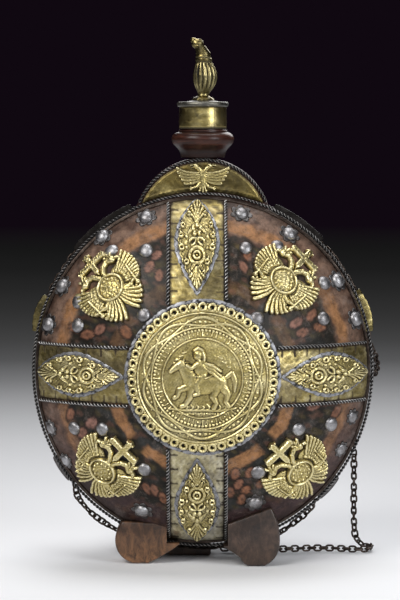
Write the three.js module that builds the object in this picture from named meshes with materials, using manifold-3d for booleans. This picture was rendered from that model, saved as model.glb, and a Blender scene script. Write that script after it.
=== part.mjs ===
// Painted wooden pilgrim flask with brass mounts, a lift-off stopper and an iron carrying chain.
// Millimetres, +Z up, front towards -Y. The origin is on the floor under the middle of the flask.
import * as THREE from 'three';
import { mergeVertices } from 'three/addons/utils/BufferGeometryUtils.js';
import Module from 'manifold-3d';

const wasm = await Module();
wasm.setup();

// Driving dimensions: wooden body
const clearance = 0.3;
const rimRadius = 121.5;
const rimOval = 1.04;
const rimWidth = 40;
const rimFloorGap = 14.64;
const domeRadius = 154.3;
const wall = 12;
const backOpening = 62;
const backRebate = 68;
const rebateDepth = 6;

// Driving dimensions: shoulder and neck
const crestRadius = 51;
const crestRise = 28.64;
const crestBandGap = 0.3;
const crestPlateThickness = 0.8;
const crestPlateInset = 3.2;
const crestEagleThickness = 1.2;
const crestEagleUnit = 20;
const crestEagleFlatten = 0.56;
const boreRadius = 8;
const tenonRadius = 10.5;
const tenonInWall = 8;
const waistRadius = 16.3;
const waistRise = 4;
const neckRingRadius = 23;
const neckRingRise = 14;
const neckRingHalf = 4.2;
const shoulderRadius = 18;
const shoulderRise = 6.6;
const spigotRadius = 15.6;
const spigotLength = 14.8;

// Driving dimensions: stopper
const sleeveRadius = 17.4;
const sleeveWall = 1.1;
const sleeveOverhang = 1.6;
const sleeveRise = 0.8;
const lidRadius = 19;
const lidThickness = 4.7;
const lidEdge = 1.2;
const plugRadius = 7.6;
const plugTipRadius = 6.4;
const plugReach = 12.6;
const plugTaper = 8;

// Driving dimensions: sheet metal on the front dome
const armHalfWidth = 19.3;
const armThickness = 0.7;
const armInner = 30;
const armRimGap = 0.6;
const uprightDrift = -4;
const ropeRadius = 1.1;
const bedMargin = 2.4;
const bedThickness = 0.5;
const lozengeRimGap = 1.5;
const lozengeBelly = 28.4;
const lozengeHalfWidth = 13.4;
const lozengeThickness = 1.3;
const backingRadius = 55.5;
const backingThickness = 0.6;
const medallionRadius = 46;
const medallionThickness = 0.9;
const wreathRadius = 35.4;
const fieldRadius = 27.8;
const ringHalfWidth = 0.8;
const ringRelief = 1;
const riderScale = 1.2;
const horseRelief = 1.9;
const riderRelief = 2.6;
const borderRadius = 52.6;
const borderLoops = 46;
const borderLoopDepth = 2.2;
const borderHoleRadius = 1.3;
const borderThickness = 0.9;
const badgeThickness = 1.8;
const badgeRelief = 1.4;
const badgeUnit = 29;
const badgeReach = 40;

// Driving dimensions: rim bands and their twisted wires
const bandWidth = 6;
const bandThickness = 0.9;
const bandFlange = 1;

// Driving dimensions: feet
const footGap = 5;
const leftFootFront = 30;
const rightFootFront = 42;
const rearFootBack = 36;
const rearFootRight = 6;

// Driving dimensions: chain and what holds it
const chainRadius = 2.6;
const strapThickness = 1;
const strapFootWidth = 3.5;
const strapSlack = 0.9;
const stapleWire = 1;
const stapleReach = 4.2;
const stapleHalfWidth = 3.4;
const stapleHeight = 3.4;
const stapleDepth = 20;

// How finely round pieces are faceted
const bodySides = 36;
const domeSteps = 7;
const turnedSides = 20;
const medallionSides = 30;
const pictureSides = 12;
const chainSides = 6;

// Heights, each standing on the one below it
const rimCentre = rimFloorGap + rimOval * rimRadius;
const rimTop = rimCentre + rimOval * rimRadius;
const crestTop = rimTop + crestRise;
const neckRingHeight = crestTop + neckRingRise;
const shoulderHeight = neckRingHeight + shoulderRise;
const spigotTop = shoulderHeight + spigotLength;
const sleeveTop = spigotTop + sleeveOverhang;
const plugBottom = shoulderHeight - plugReach;

const halfRim = rimWidth / 2;
const sphereDrop = Math.sqrt(domeRadius ** 2 - rimRadius ** 2);
const sphereCentre = halfRim - sphereDrop;
const degrees = Math.PI / 180;

// Solids and meshes

function orientedTriangles(positions, index) {
  const a = new THREE.Vector3();
  const b = new THREE.Vector3();
  const c = new THREE.Vector3();
  let volume = 0;
  const triangles = [];
  for (let i = 0; i < index.length; i += 3) {
    const [p, q, r] = [index[i], index[i + 1], index[i + 2]];
    if (p === q || q === r || r === p) continue;
    triangles.push(p, q, r);
    a.fromArray(positions, 3 * p);
    b.fromArray(positions, 3 * q);
    c.fromArray(positions, 3 * r);
    volume += a.dot(b.cross(c));
  }
  return volume < 0 ? triangles.reverse() : triangles;
}

function toSolid(geometry) {
  geometry.deleteAttribute('normal');
  geometry.deleteAttribute('uv');
  const merged = mergeVertices(geometry, 1e-4);
  const positions = merged.attributes.position.array;
  return new wasm.Manifold(new wasm.Mesh({
    numProp: 3,
    vertProperties: new Float32Array(positions),
    triVerts: new Uint32Array(orientedTriangles(positions, merged.index.array)),
  }));
}

function toMesh(name, solid, material) {
  const { vertProperties, triVerts } = solid.getMesh();
  const geometry = new THREE.BufferGeometry();
  geometry.setAttribute('position', new THREE.BufferAttribute(new Float32Array(vertProperties), 3));
  geometry.setIndex(new THREE.BufferAttribute(new Uint32Array(triVerts), 1));
  geometry.computeVertexNormals();
  const mesh = new THREE.Mesh(geometry, material);
  mesh.name = name;
  return mesh;
}

function vectors(points) {
  return points.map(([x, y]) => new THREE.Vector2(x, y));
}

// A body turned about the flask's front-to-back axis and drawn out to the rim's oval.
function discTurned(profile, sides = bodySides) {
  const geometry = new THREE.LatheGeometry(vectors(profile), sides);
  geometry.scale(1, 1, rimOval);
  geometry.translate(0, 0, rimCentre);
  return toSolid(geometry);
}

// A body turned about the upright axis of the neck.
function neckTurned(profile) {
  const geometry = new THREE.LatheGeometry(vectors(profile), turnedSides);
  geometry.rotateX(Math.PI / 2);
  return toSolid(geometry);
}

// A front-view outline pushed from y = front to y = back.
function frontPrism(shape, front, back, curveSegments = 8) {
  const geometry = new THREE.ExtrudeGeometry(shape, {
    depth: back - front, bevelEnabled: false, curveSegments,
  });
  geometry.rotateX(Math.PI / 2);
  geometry.translate(0, back, 0);
  return toSolid(geometry);
}

function polygon(points) {
  return new THREE.Shape(vectors(points));
}

function tube(points, radius, sides, steps) {
  const section = [];
  for (let i = 0; i < sides; i += 1) {
    const turn = (2 * Math.PI * i) / sides;
    section.push([radius * Math.cos(turn), radius * Math.sin(turn)]);
  }
  const path = new THREE.CatmullRomCurve3(points, false, 'centripetal');
  return toSolid(new THREE.ExtrudeGeometry(polygon(section), { steps, extrudePath: path }));
}

// The front and rear domes are parts of spheres; every layer on them shares their facets.

function arcPoints(reach, start, end, steps, side) {
  const points = [];
  for (let i = 0; i <= steps; i += 1) {
    const turn = start + ((end - start) * i) / steps;
    points.push([reach * Math.sin(turn), side * (sphereCentre + reach * Math.cos(turn))]);
  }
  return points;
}

function domeArc(offset, fromRadius, toRadius, steps, side) {
  const reach = domeRadius + offset;
  return arcPoints(reach, Math.asin(fromRadius / reach), Math.asin(toRadius / reach), steps, side);
}

function domeSolid(offset) {
  const dome = arcPoints(domeRadius + offset, 0, Math.asin(rimRadius / domeRadius), domeSteps, -1);
  return discTurned([...dome, [rimRadius + offset, 0], [0, 0]]);
}

function domeLayer(outline, offset, thickness) {
  return domeSolid(offset + thickness).intersect(outline).subtract(domeSolid(offset));
}

// Front-view point to a point at a given offset above the front dome.
function onDome(x, z, offset) {
  const radius = Math.hypot(x, (z - rimCentre) / rimOval);
  const reach = domeRadius + offset;
  const scale = reach / domeRadius;
  const depth = -sphereCentre - Math.sqrt(domeRadius ** 2 - radius ** 2) * scale;
  return new THREE.Vector3(x * scale, depth, rimCentre + (z - rimCentre) * scale);
}

const armOuter = rimRadius - bandFlange - armRimGap;
const lozengeInner = backingRadius + clearance + bedMargin;
const lozengeOuter = armOuter - lozengeRimGap;
const lozengeWidest = lozengeOuter - lozengeBelly;
const armLift = clearance;
const bedLift = armLift + armThickness + clearance;
const lozengeLift = bedLift + bedThickness + clearance;
const backingLift = armLift + armThickness + clearance;
const medallionLift = backingLift + backingThickness + clearance;
const domeFront = -(sphereCentre + domeRadius) - 20;

// Finishes

function finish(colour, roughness, metalness) {
  return new THREE.MeshStandardMaterial({ color: colour, roughness, metalness });
}

const paintedWood = finish(0x6b3f28, 0.55, 0);
const darkWood = finish(0x3a2a22, 0.6, 0);
const footWood = finish(0x6a4630, 0.65, 0);
const brass = finish(0xa88a3c, 0.38, 1);
const brassSheet = finish(0x8f7434, 0.42, 1);
const tin = finish(0x8a8c96, 0.5, 1);
const iron = finish(0x2b2826, 0.6, 1);

const flask = new THREE.Group();

function place(name, solid, material) {
  flask.add(toMesh(name, solid, material));
}

// Wooden body: two shallow domes and a rim, hollowed through an opening in the back

const innerRim = rimRadius - wall;
const tenonBottom = rimTop - tenonInWall;

function rearDomeDepth(radius) {
  return sphereCentre + Math.sqrt(domeRadius ** 2 - radius ** 2);
}

function uprightRod(radius, bottom, top) {
  return neckTurned([[0, bottom], [radius, bottom], [radius, top], [0, top]]);
}

function bodyShell() {
  const ledge = rearDomeDepth(backRebate) - rebateDepth;
  const outer = [
    ...domeArc(0, 0, rimRadius, domeSteps, -1),
    ...domeArc(0, backRebate, rimRadius, 3, 1).reverse(),
  ];
  const rebate = [[backRebate, ledge], [backOpening, ledge]];
  const inner = [
    ...domeArc(-wall, backOpening, innerRim, 2, 1),
    ...domeArc(-wall, 0, innerRim, 3, -1).reverse(),
  ];
  return discTurned([...outer, ...rebate, ...inner])
    .subtract(uprightRod(tenonRadius + clearance, tenonBottom - clearance, rimTop + wall))
    .subtract(uprightRod(boreRadius, rimTop - 3 * wall, rimTop));
}

function backDisc() {
  const edge = backRebate - clearance;
  const ledge = rearDomeDepth(backRebate) - rebateDepth + clearance;
  const inside = backOpening - clearance;
  const innerFace = rearDomeDepth(backOpening) - wall;
  return discTurned([
    ...domeArc(0, 0, edge, 4, 1), [edge, ledge], [inside, ledge], [inside, innerFace], [0, innerFace],
  ]);
}

place('body_shell', bodyShell(), paintedWood);
place('back_disc', backDisc(), paintedWood);

// Rim: iron bands folded over both edges, with a twisted wire outside each

const bandOuter = rimRadius + clearance + bandThickness;
const wireCentre = bandOuter + clearance + ropeRadius;
const wireDepth = halfRim - ropeRadius;

function rimBand(side) {
  const inner = rimRadius + clearance;
  const inset = rimRadius - bandFlange;
  const flangeBack = rearDomeDepth(inset) + clearance;
  const corner = halfRim + clearance;
  const profile = [
    [inner, halfRim - bandWidth], [bandOuter, halfRim - bandWidth], [bandOuter, corner + bandThickness],
    [inset, flangeBack + bandThickness], [inset, flangeBack], [inner, corner],
    [inner, halfRim - bandWidth],
  ];
  return discTurned(profile.map(([radius, depth]) => [radius, side * depth]));
}

function rimWire(side) {
  const profile = [];
  for (let i = 0; i <= 4; i += 1) {
    const turn = (Math.PI * (i % 4)) / 2;
    profile.push([wireCentre + ropeRadius * Math.cos(turn), side * wireDepth + ropeRadius * Math.sin(turn)]);
  }
  return discTurned(profile);
}

for (const [name, side] of [['front', -1], ['rear', 1]]) {
  place(`rim_band_${name}`, rimBand(side), iron);
  place(`rim_rope_${name}`, rimWire(side), iron);
}

// The space that the body, bands and wires take, which the feet are cut to

function bodyEnvelope() {
  const wireOut = wireCentre + ropeRadius + clearance;
  const wireFace = halfRim + bandThickness + 3 * clearance;
  const wireInner = rimRadius - bandFlange - clearance;
  const bandBack = halfRim - bandWidth - clearance;
  const edge = [
    [wireInner, rearDomeDepth(wireInner) + bandThickness + 3 * clearance], [wireOut, wireFace],
    [wireOut, bandBack], [rimRadius + clearance, bandBack],
  ];
  const front = edge.map(([radius, depth]) => [radius, -depth]);
  const rear = edge.slice().reverse();
  return discTurned([
    ...domeArc(clearance, 0, wireInner, domeSteps, -1), ...front, ...rear,
    ...domeArc(clearance, 0, wireInner, domeSteps, 1).reverse(),
  ]);
}

// Feet: blocks rounded at the toe, seated under the domes

const footOutlines = {
  left: new THREE.Shape()
    .moveTo(-59, 31).quadraticCurveTo(-66, 21, -63.5, 12).quadraticCurveTo(-61, 3, -51, 0)
    .lineTo(-40, 0).quadraticCurveTo(-33, 3, -27, 7).quadraticCurveTo(-20, 11, -17, 14).lineTo(-17, 29),
  right: new THREE.Shape()
    .moveTo(16, 30).lineTo(15, 14).quadraticCurveTo(22, 10, 27, 6).quadraticCurveTo(31, 0, 34, 0)
    .lineTo(45, 0).quadraticCurveTo(54, 4, 56, 14).quadraticCurveTo(57.5, 29, 50, 43),
  rear: new THREE.Shape()
    .moveTo(-36, 44).lineTo(-34, 10).quadraticCurveTo(-31, 2, -24, 0)
    .lineTo(rearFootRight, 0).lineTo(rearFootRight, 44),
};
const envelope = bodyEnvelope();

// Room for the lowest strip of the cross, which the front feet stand either side of.
const stripClear = armHalfWidth + 2 * clearance + 2 * ropeRadius + clearance;
const stripEnd = rimCentre - rimOval * rimRadius;
const [stripLeft, stripRight] = [uprightDrift - stripClear, uprightDrift + stripClear];
const stripRoom = frontPrism(polygon([
  [stripLeft, stripEnd], [stripRight, stripEnd], [stripRight, rimCentre], [stripLeft, rimCentre],
]), domeFront, 0);

function foot(outline, front, back) {
  return frontPrism(outline, front, back, 4).subtract(envelope).subtract(stripRoom);
}

place('foot_left', foot(footOutlines.left, -leftFootFront, -footGap), footWood);
place('foot_right', foot(footOutlines.right, -rightFootFront, -footGap), footWood);
place('foot_rear', foot(footOutlines.rear, footGap, rearFootBack), footWood);

// Shoulder: a half-moon block on the rim, faced with brass and edged with twisted wire

const crestCentre = crestTop - crestRadius;
const crestFront = -(rimWidth / 2 - bandWidth - crestBandGap);

function discShape(radius, x, z) {
  return new THREE.Shape().absarc(x, z, radius, 0, 2 * Math.PI);
}

function rimSolid(offset) {
  const radius = rimRadius + offset;
  return discTurned([[0, -rimWidth], [radius, -rimWidth], [radius, rimWidth], [0, rimWidth]]);
}

function crestBlock() {
  return frontPrism(discShape(crestRadius, 0, crestCentre), crestFront, -crestFront, 24)
    .subtract(rimSolid(clearance))
    .subtract(uprightRod(tenonRadius + clearance, tenonBottom, crestTop + wall));
}

const plateRadius = crestRadius - crestPlateInset;
const plateBack = crestFront - clearance;
const plateFront = plateBack - crestPlateThickness;
const wireOutside = wireCentre + ropeRadius - rimRadius;

function crestPlate() {
  return frontPrism(discShape(plateRadius, 0, crestCentre), plateFront, plateBack, 20)
    .subtract(rimSolid(wireOutside + clearance));
}

function crestRope() {
  const path = [];
  const radius = crestRadius - ropeRadius;
  for (let turn = 160; turn >= 20; turn -= 10) {
    const x = radius * Math.cos(turn * degrees);
    const z = crestCentre + radius * Math.sin(turn * degrees);
    path.push(new THREE.Vector3(x, crestFront - clearance - ropeRadius, z));
  }
  return tube(path, ropeRadius, 4, 16);
}

place('crest_block', crestBlock(), darkWood);
place('crest_plate', crestPlate(), brassSheet);
place('crest_rope', crestRope(), iron);

// Neck: a turned piece whose tenon goes through the shoulder into the rim

function neck() {
  const waistBottom = crestTop + clearance;
  return neckTurned([
    [boreRadius, tenonBottom], [tenonRadius, tenonBottom], [tenonRadius, waistBottom],
    [waistRadius + 1.2, waistBottom], [waistRadius, waistBottom + waistRise],
    [waistRadius + 2, neckRingHeight - neckRingHalf - 1.6], [neckRingRadius - 1.8, neckRingHeight - 3],
    [neckRingRadius, neckRingHeight], [neckRingRadius - 2.2, neckRingHeight + 3],
    [shoulderRadius, neckRingHeight + neckRingHalf], [shoulderRadius, shoulderHeight],
    [spigotRadius, shoulderHeight], [spigotRadius, spigotTop], [boreRadius, spigotTop],
    [boreRadius, tenonBottom],
  ]);
}

place('neck', neck(), darkWood);

// Stopper: a brass sleeve and lid over the spigot, a wooden plug in the bore and a leaning finial

const lidBottom = sleeveTop + clearance;
const lidTop = lidBottom + lidThickness;

function capSleeve() {
  const bottom = shoulderHeight + sleeveRise;
  const inside = sleeveRadius - sleeveWall;
  return neckTurned([
    [inside, bottom], [sleeveRadius, bottom], [sleeveRadius, sleeveTop], [inside, sleeveTop],
    [inside, bottom],
  ]);
}

function capLid() {
  return neckTurned([
    [0, lidBottom], [lidRadius - lidEdge, lidBottom], [lidRadius, lidBottom + lidEdge],
    [lidRadius, lidTop - lidEdge], [lidRadius - lidEdge, lidTop], [0, lidTop],
  ]);
}

function stopperPlug() {
  const top = lidBottom - clearance;
  return neckTurned([
    [0, plugBottom], [plugTipRadius, plugBottom], [plugRadius, plugBottom + plugTaper],
    [plugRadius, top], [0, top],
  ]);
}

// Rings of points through stations [height above the lid, sideways lean, half width, half depth].
function loft(stations, sides) {
  const positions = [];
  const index = [];
  const last = stations.length - 1;
  stations.forEach(([rise, lean, halfWidth, halfDepth]) => {
    for (let i = 0; i < sides; i += 1) {
      const turn = (2 * Math.PI * i) / sides;
      positions.push(lean + halfWidth * Math.cos(turn), halfDepth * Math.sin(turn), rise);
    }
  });
  const capCentres = [0, last].map((station) => {
    positions.push(stations[station][1], 0, stations[station][0]);
    return positions.length / 3 - 1;
  });
  for (let i = 0; i < sides; i += 1) {
    const next = (i + 1) % sides;
    for (let ring = 0; ring < last; ring += 1) {
      const [low, high] = [ring * sides, (ring + 1) * sides];
      index.push(low + i, low + next, high + next, low + i, high + next, high + i);
    }
    index.push(capCentres[0], next, i, capCentres[1], last * sides + i, last * sides + next);
  }
  const geometry = new THREE.BufferGeometry();
  geometry.setAttribute('position', new THREE.Float32BufferAttribute(positions, 3));
  geometry.setIndex(index);
  return geometry;
}

function finial() {
  const geometry = loft([
    [0, 0, 8.4, 8.4], [1.6, 0, 7.4, 7.4], [3.2, 0.3, 4.4, 4.4], [7, 0.8, 5, 5], [12, 1.2, 7.6, 7.4],
    [18, 1.4, 8.7, 8.2], [24, 1.2, 7.2, 6.8], [28.5, 0.8, 5.6, 5.6], [30, 0.6, 6.2, 6.2],
    [32, 0.4, 5.6, 5.6], [34, -1, 3.9, 4], [38, -3, 3.6, 3.8], [41.5, -4.4, 4.8, 4.2],
    [44.5, -4.8, 4.4, 3.6], [46, -4.6, 2.2, 2],
  ], 14);
  geometry.translate(0, 0, lidTop + clearance);
  return toSolid(geometry);
}

place('cap_sleeve', capSleeve(), brass);
place('cap_lid', capLid(), brass);
place('stopper_plug', stopperPlug(), footWood);
place('finial', finial(), brass);

// Cross: four brass strips, each with a tin bed, an embossed lozenge and twisted wires on its edges

const arms = { top: 90, right: 0, bottom: 270, left: 180 };

// Turns an outline drawn along +X so that it runs out along one arm of the cross. The upright strips
// sit a little to the left of the middle.
function along(angle, points) {
  const [cos, sin] = [Math.round(Math.cos(angle * degrees)), Math.round(Math.sin(angle * degrees))];
  const stretch = sin === 0 ? 1 : rimOval;
  const drift = sin === 0 ? 0 : uprightDrift;
  return points.map(([out, side]) => {
    const reach = out * stretch;
    return [drift + reach * cos - side * sin, rimCentre + reach * sin + side * cos];
  });
}

// A spindle: full-bodied towards the rim, drawn out to a long point towards the medallion.
function lozengeOutline(angle, margin) {
  const half = lozengeHalfWidth + margin;
  const inner = lozengeInner - margin;
  const outer = lozengeOuter + margin / 2;
  const tip = 0.6;
  const edge = [[inner, tip]];
  for (const share of [0.75, 0.45]) {
    edge.push([lozengeWidest - share * (lozengeWidest - inner), half * (1 - share ** 1.5) + tip]);
  }
  for (const share of [0, 0.35, 0.65, 0.9]) {
    edge.push([lozengeWidest + share * (outer - lozengeWidest), half * (1 - share ** 2) ** 0.8 + tip]);
  }
  edge.push([outer, tip]);
  const mirrored = edge.map(([out, side]) => [out, -side]).reverse();
  return along(angle, [...edge, ...mirrored]);
}

// The strips end in a line with the rim.
const armRoom = discTurned([[0, domeFront], [armOuter, domeFront], [armOuter, 0], [0, 0]]);

function armLayer(points, lift, thickness) {
  return domeLayer(frontPrism(polygon(points), domeFront, 0).intersect(armRoom), lift, thickness);
}

// A wire along one edge of a strip, from the medallion's backing to the rim.
function armRope(angle, side) {
  const edge = side * (armHalfWidth + clearance + ropeRadius);
  const [[x, z]] = along(angle, [[0, edge]]);
  const upright = x !== 0 && z === rimCentre;
  const across = upright ? x : z - rimCentre;
  const [stretch, squeeze] = upright ? [rimOval, 1] : [1, rimOval];
  const inner = Math.sqrt((backingRadius + clearance + ropeRadius) ** 2 - across ** 2) / stretch;
  const outer = Math.sqrt((armOuter - ropeRadius) ** 2 - (across / squeeze) ** 2);
  const path = [];
  for (let i = 0; i <= 6; i += 1) {
    const [[pathX, pathZ]] = along(angle, [[inner + ((outer - inner) * i) / 6, edge]]);
    path.push(onDome(pathX, pathZ, ropeRadius + clearance));
  }
  return tube(path, ropeRadius, 4, 8);
}

for (const [name, angle] of Object.entries(arms)) {
  const strip = [
    [armInner, -armHalfWidth], [rimRadius, -armHalfWidth],
    [rimRadius, armHalfWidth], [armInner, armHalfWidth],
  ];
  place(`arm_plate_${name}`, armLayer(along(angle, strip), armLift, armThickness), brassSheet);
  place(`lozenge_bed_${name}`, armLayer(lozengeOutline(angle, bedMargin), bedLift, bedThickness), tin);
  place(`lozenge_${name}`, armLayer(lozengeOutline(angle, 0), lozengeLift, lozengeThickness), brass);
  place(`arm_rope_${name}_a`, armRope(angle, 1), iron);
  place(`arm_rope_${name}_b`, armRope(angle, -1), iron);
}

// Medallion: a tin backing, an embossed disc and a looped, pierced border

// A round piece lying on the front dome, from [radius in the front view, offset above the wood] pairs.
function medallionTurned(profile) {
  const positions = [];
  const index = [];
  profile.forEach(([radius, offset], row) => {
    const foot = (radius * domeRadius) / (domeRadius + offset);
    for (let i = 0; i < medallionSides; i += 1) {
      const turn = (2 * Math.PI * i) / medallionSides;
      positions.push(...onDome(foot * Math.cos(turn), rimCentre + foot * Math.sin(turn), offset).toArray());
      if (row === 0) continue;
      const next = (i + 1) % medallionSides;
      const [last, here] = [(row - 1) * medallionSides, row * medallionSides];
      index.push(last + i, last + next, here + next, last + i, here + next, here + i);
    }
  });
  const geometry = new THREE.BufferGeometry();
  geometry.setAttribute('position', new THREE.Float32BufferAttribute(positions, 3));
  geometry.setIndex(index);
  return toSolid(geometry);
}

function medallionBacking() {
  const [low, high] = [backingLift, backingLift + backingThickness];
  const [near, far] = [backingRadius / 3, (2 * backingRadius) / 3];
  return medallionTurned([
    [0, low], [near, low], [far, low], [backingRadius, low],
    [backingRadius, high], [far, high], [near, high], [0, high],
  ]);
}

// A strip of even width along a path, as an outline.
function band(path, halfWidth) {
  const left = [];
  const right = [];
  path.forEach(([x, y], i) => {
    const [ax, ay] = path[Math.max(i - 1, 0)];
    const [bx, by] = path[Math.min(i + 1, path.length - 1)];
    const length = Math.hypot(bx - ax, by - ay);
    const [nx, ny] = [-(by - ay) / length, (bx - ax) / length];
    left.push([x + nx * halfWidth, y + ny * halfWidth]);
    right.unshift([x - nx * halfWidth, y - ny * halfWidth]);
  });
  return [...left, ...right];
}

function round(x, y, radius, sides) {
  const outline = [];
  for (let i = 0; i < sides; i += 1) {
    const turn = (2 * Math.PI * (i + 0.5)) / sides;
    outline.push([x + radius * Math.cos(turn), y + radius * Math.sin(turn)]);
  }
  return outline;
}

// The disc's picture, from its middle: a stepping horse on a strip of ground, and its rider.
const horse = [
  band([[-10.5, -0.4], [-5, -2], [3, -3.2], [9, -2.6], [13.6, -1.4]], 5),
  band([[-6.5, -1], [-9.6, 4.4], [-12.4, 9]], 3),
  band([[-10.8, 8.6], [-15.4, 6.6], [-18.4, 4.2]], 2),
  band([[-8.4, -4.6], [-13.4, -6.4], [-15.4, -11.2]], 1.5),
  band([[-6.4, -5.8], [-7.4, -11.2], [-11, -16.2]], 1.5),
  band([[8.2, -5], [6, -10.4], [8, -14.2], [6.4, -18.6]], 1.6),
  band([[11.4, -4.4], [14.8, -8.8], [13.4, -13.4], [15.4, -18.2]], 1.6),
  band([[12.6, 0.4], [17.2, 3], [19, -1.6], [18.4, -7.6]], 1.5),
  band([[-19, -18.6], [0, -19.4], [19, -18.4]], 1.2),
];
const rider = [
  band([[0, 0], [-0.8, 5], [-1.4, 10.6]], 3.4),
  band([[0.4, 2.4], [-3.2, -3.2], [-3.2, -8.8]], 1.8),
  band([[1, 8.6], [5.6, 7], [11, 1.6]], 2.4),
  band([[-2, 8.4], [-6.2, 5.8], [-9, 7.8]], 1.3),
  band([[-17.2, -13.6], [-1.6, 23]], 0.6),
  round(-2.2, 13, 3, 8),
];

function joined(solids) {
  return solids.reduce((whole, piece) => whole.add(piece));
}

function pictureDome(offset) {
  const reach = domeRadius + offset;
  const dome = arcPoints(reach, 0, Math.asin(medallionRadius / reach), 4, -1);
  return discTurned([...dome, [medallionRadius, 0], [0, 0]], pictureSides);
}

function pictureLayer(outlines, relief) {
  const prisms = outlines
    .map((outline) => outline.map(([x, z]) => [riderScale * x, rimCentre + riderScale * z]))
    .map((outline) => frontPrism(polygon(outline), domeFront, 0));
  return pictureDome(medallionLift + medallionThickness + relief)
    .intersect(joined(prisms))
    .subtract(pictureDome(medallionLift + medallionThickness / 2));
}

function medallionDish() {
  const [low, ground] = [medallionLift, medallionLift + medallionThickness];
  const raised = ground + ringRelief;
  const ring = (radius) => [
    [radius + ringHalfWidth, ground], [radius + ringHalfWidth / 2, raised],
    [radius - ringHalfWidth / 2, raised], [radius - ringHalfWidth, ground],
  ];
  const dish = medallionTurned([
    [0, low], [fieldRadius / 2, low], [fieldRadius, low], [medallionRadius, low],
    ...ring(medallionRadius - ringHalfWidth), ...ring(wreathRadius), ...ring(fieldRadius),
    [fieldRadius / 2, ground], [0, ground],
  ]);
  return joined([dish, pictureLayer(horse, horseRelief), pictureLayer(rider, riderRelief)]);
}

function borderShape() {
  const outline = [];
  const loopPoints = 2;
  for (let i = 0; i < borderLoops * loopPoints; i += 1) {
    const turn = (2 * Math.PI * i) / (borderLoops * loopPoints);
    const scallop = Math.abs(Math.sin((borderLoops * turn) / 2));
    const radius = borderRadius - borderLoopDepth * (1 - scallop);
    outline.push([radius * Math.cos(turn), rimCentre + radius * Math.sin(turn)]);
  }
  const shape = polygon(outline);
  const holeCentre = (borderRadius + medallionRadius) / 2;
  for (let i = 0; i < borderLoops; i += 1) {
    const turn = (2 * Math.PI * (i + 0.5)) / borderLoops;
    const [x, z] = [holeCentre * Math.cos(turn), rimCentre + holeCentre * Math.sin(turn)];
    const hole = [0, 1, 2, 3].map((corner) => {
      const spin = turn + (corner * Math.PI) / 2;
      return [x + borderHoleRadius * Math.cos(spin), z + borderHoleRadius * Math.sin(spin)];
    });
    shape.holes.push(polygon(hole));
  }
  return shape;
}

function medallionBorder() {
  const shape = borderShape();
  shape.holes.push(discShape(medallionRadius + clearance, 0, rimCentre));
  return domeLayer(frontPrism(shape, domeFront, 0, medallionSides / 2), medallionLift, borderThickness);
}

place('medallion_backing', medallionBacking(), tin);
place('medallion_dish', medallionDish(), brass);
place('medallion_border', medallionBorder(), brass);

// Badges: a double-headed bird under a cross, with a shield, fan wings, rods in its claws and a split tail

function prismAt(shape, depth, placeInWorld) {
  const geometry = new THREE.ExtrudeGeometry(shape, { depth, bevelEnabled: false, curveSegments: 4 });
  geometry.translate(0, 0, -depth / 2);
  geometry.applyMatrix4(placeInWorld);
  return toSolid(geometry);
}

// A fan of feathers with a scalloped edge; its reach changes evenly from one side to the other.
function fan([x, y], [from, to], [firstReach, lastReach], feathers) {
  const outline = [[x, y]];
  for (let i = 0; i <= 2 * feathers; i += 1) {
    const share = i / (2 * feathers);
    const turn = (from + (to - from) * share) * degrees;
    const scallop = i % 2 === 1 ? 1 : 0.92;
    const reach = scallop * (firstReach + (lastReach - firstReach) * share);
    outline.push([x + reach * Math.cos(turn), y + reach * Math.sin(turn)]);
  }
  return outline;
}

function mirrored(outlines) {
  return [...outlines, ...outlines.map((outline) => outline.map(([x, y]) => [-x, y]))];
}

// Outlines of the bird in units of its wing's reach, the right half drawn and mirrored.
const neckPath = [[0.04, 0.24], [0.1, 0.5], [0.28, 0.66], [0.46, 0.61]];
const crossOutlines = [band([[0, 0.46], [0, 1.22]], 0.07), band([[-0.4, 0.92], [0.4, 0.92]], 0.07)];
const birdOutlines = [
  round(0, 0, 0.32, 8),
  ...mirrored([
    fan([0.08, -0.02], [-27, 45], [0.68, 1], 3),
    fan([0, -0.06], [274, 324], [0.9, 0.82], 2),
    band([...neckPath, [0.62, 0.5]], 0.085),
    band([[0.64, 0.2], [0.6, -0.47]], 0.05),
    band([[0.16, -0.18], [0.4, -0.32], [0.62, -0.27]], 0.09),
  ]),
];
const raisedOutlines = [round(0, 0, 0.29, 8), ...mirrored([band(neckPath, 0.055)]), ...crossOutlines];

function birdSolid(outlines, unit, depth, placeInWorld) {
  const shapes = outlines.map((outline) => polygon(outline.map(([x, y]) => [x * unit, y * unit])));
  return joined(shapes.map((shape) => prismAt(shape, depth, placeInWorld)));
}

function badgeFrame(inset, angle, headTurn) {
  const distance = rimRadius - inset;
  const x = distance * Math.cos(angle * degrees);
  const z = rimCentre + rimOval * distance * Math.sin(angle * degrees);
  const centre = onDome(x, z, 0);
  const normal = onDome(x, z, 1).sub(centre).normalize();
  const up = new THREE.Vector3(Math.cos(headTurn * degrees), 0, Math.sin(headTurn * degrees));
  up.addScaledVector(normal, -up.dot(normal)).normalize();
  const across = new THREE.Vector3().crossVectors(up, normal);
  return new THREE.Matrix4().makeBasis(across, up, normal).setPosition(centre);
}

// Each badge's distance in from the rim, its place round the face and the way its heads point.
const badges = {
  upper_left: [33.3, 137.5, 135], upper_right: [35.5, 48.5, 45], lower_left: [24, 223.1, 45],
  lower_right: [24.5, 315.7, 135],
};
for (const [name, placing] of Object.entries(badges)) {
  const frame = badgeFrame(...placing);
  const sheet = birdSolid([...birdOutlines, ...crossOutlines], badgeUnit, badgeReach, frame);
  const raised = birdSolid(raisedOutlines, badgeUnit, badgeReach, frame);
  const half = badgeThickness / 2;
  place(`eagle_badge_${name}`, domeLayer(sheet, clearance, badgeThickness)
    .add(domeLayer(raised, clearance + half, half + badgeRelief)), brass);
}

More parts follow.
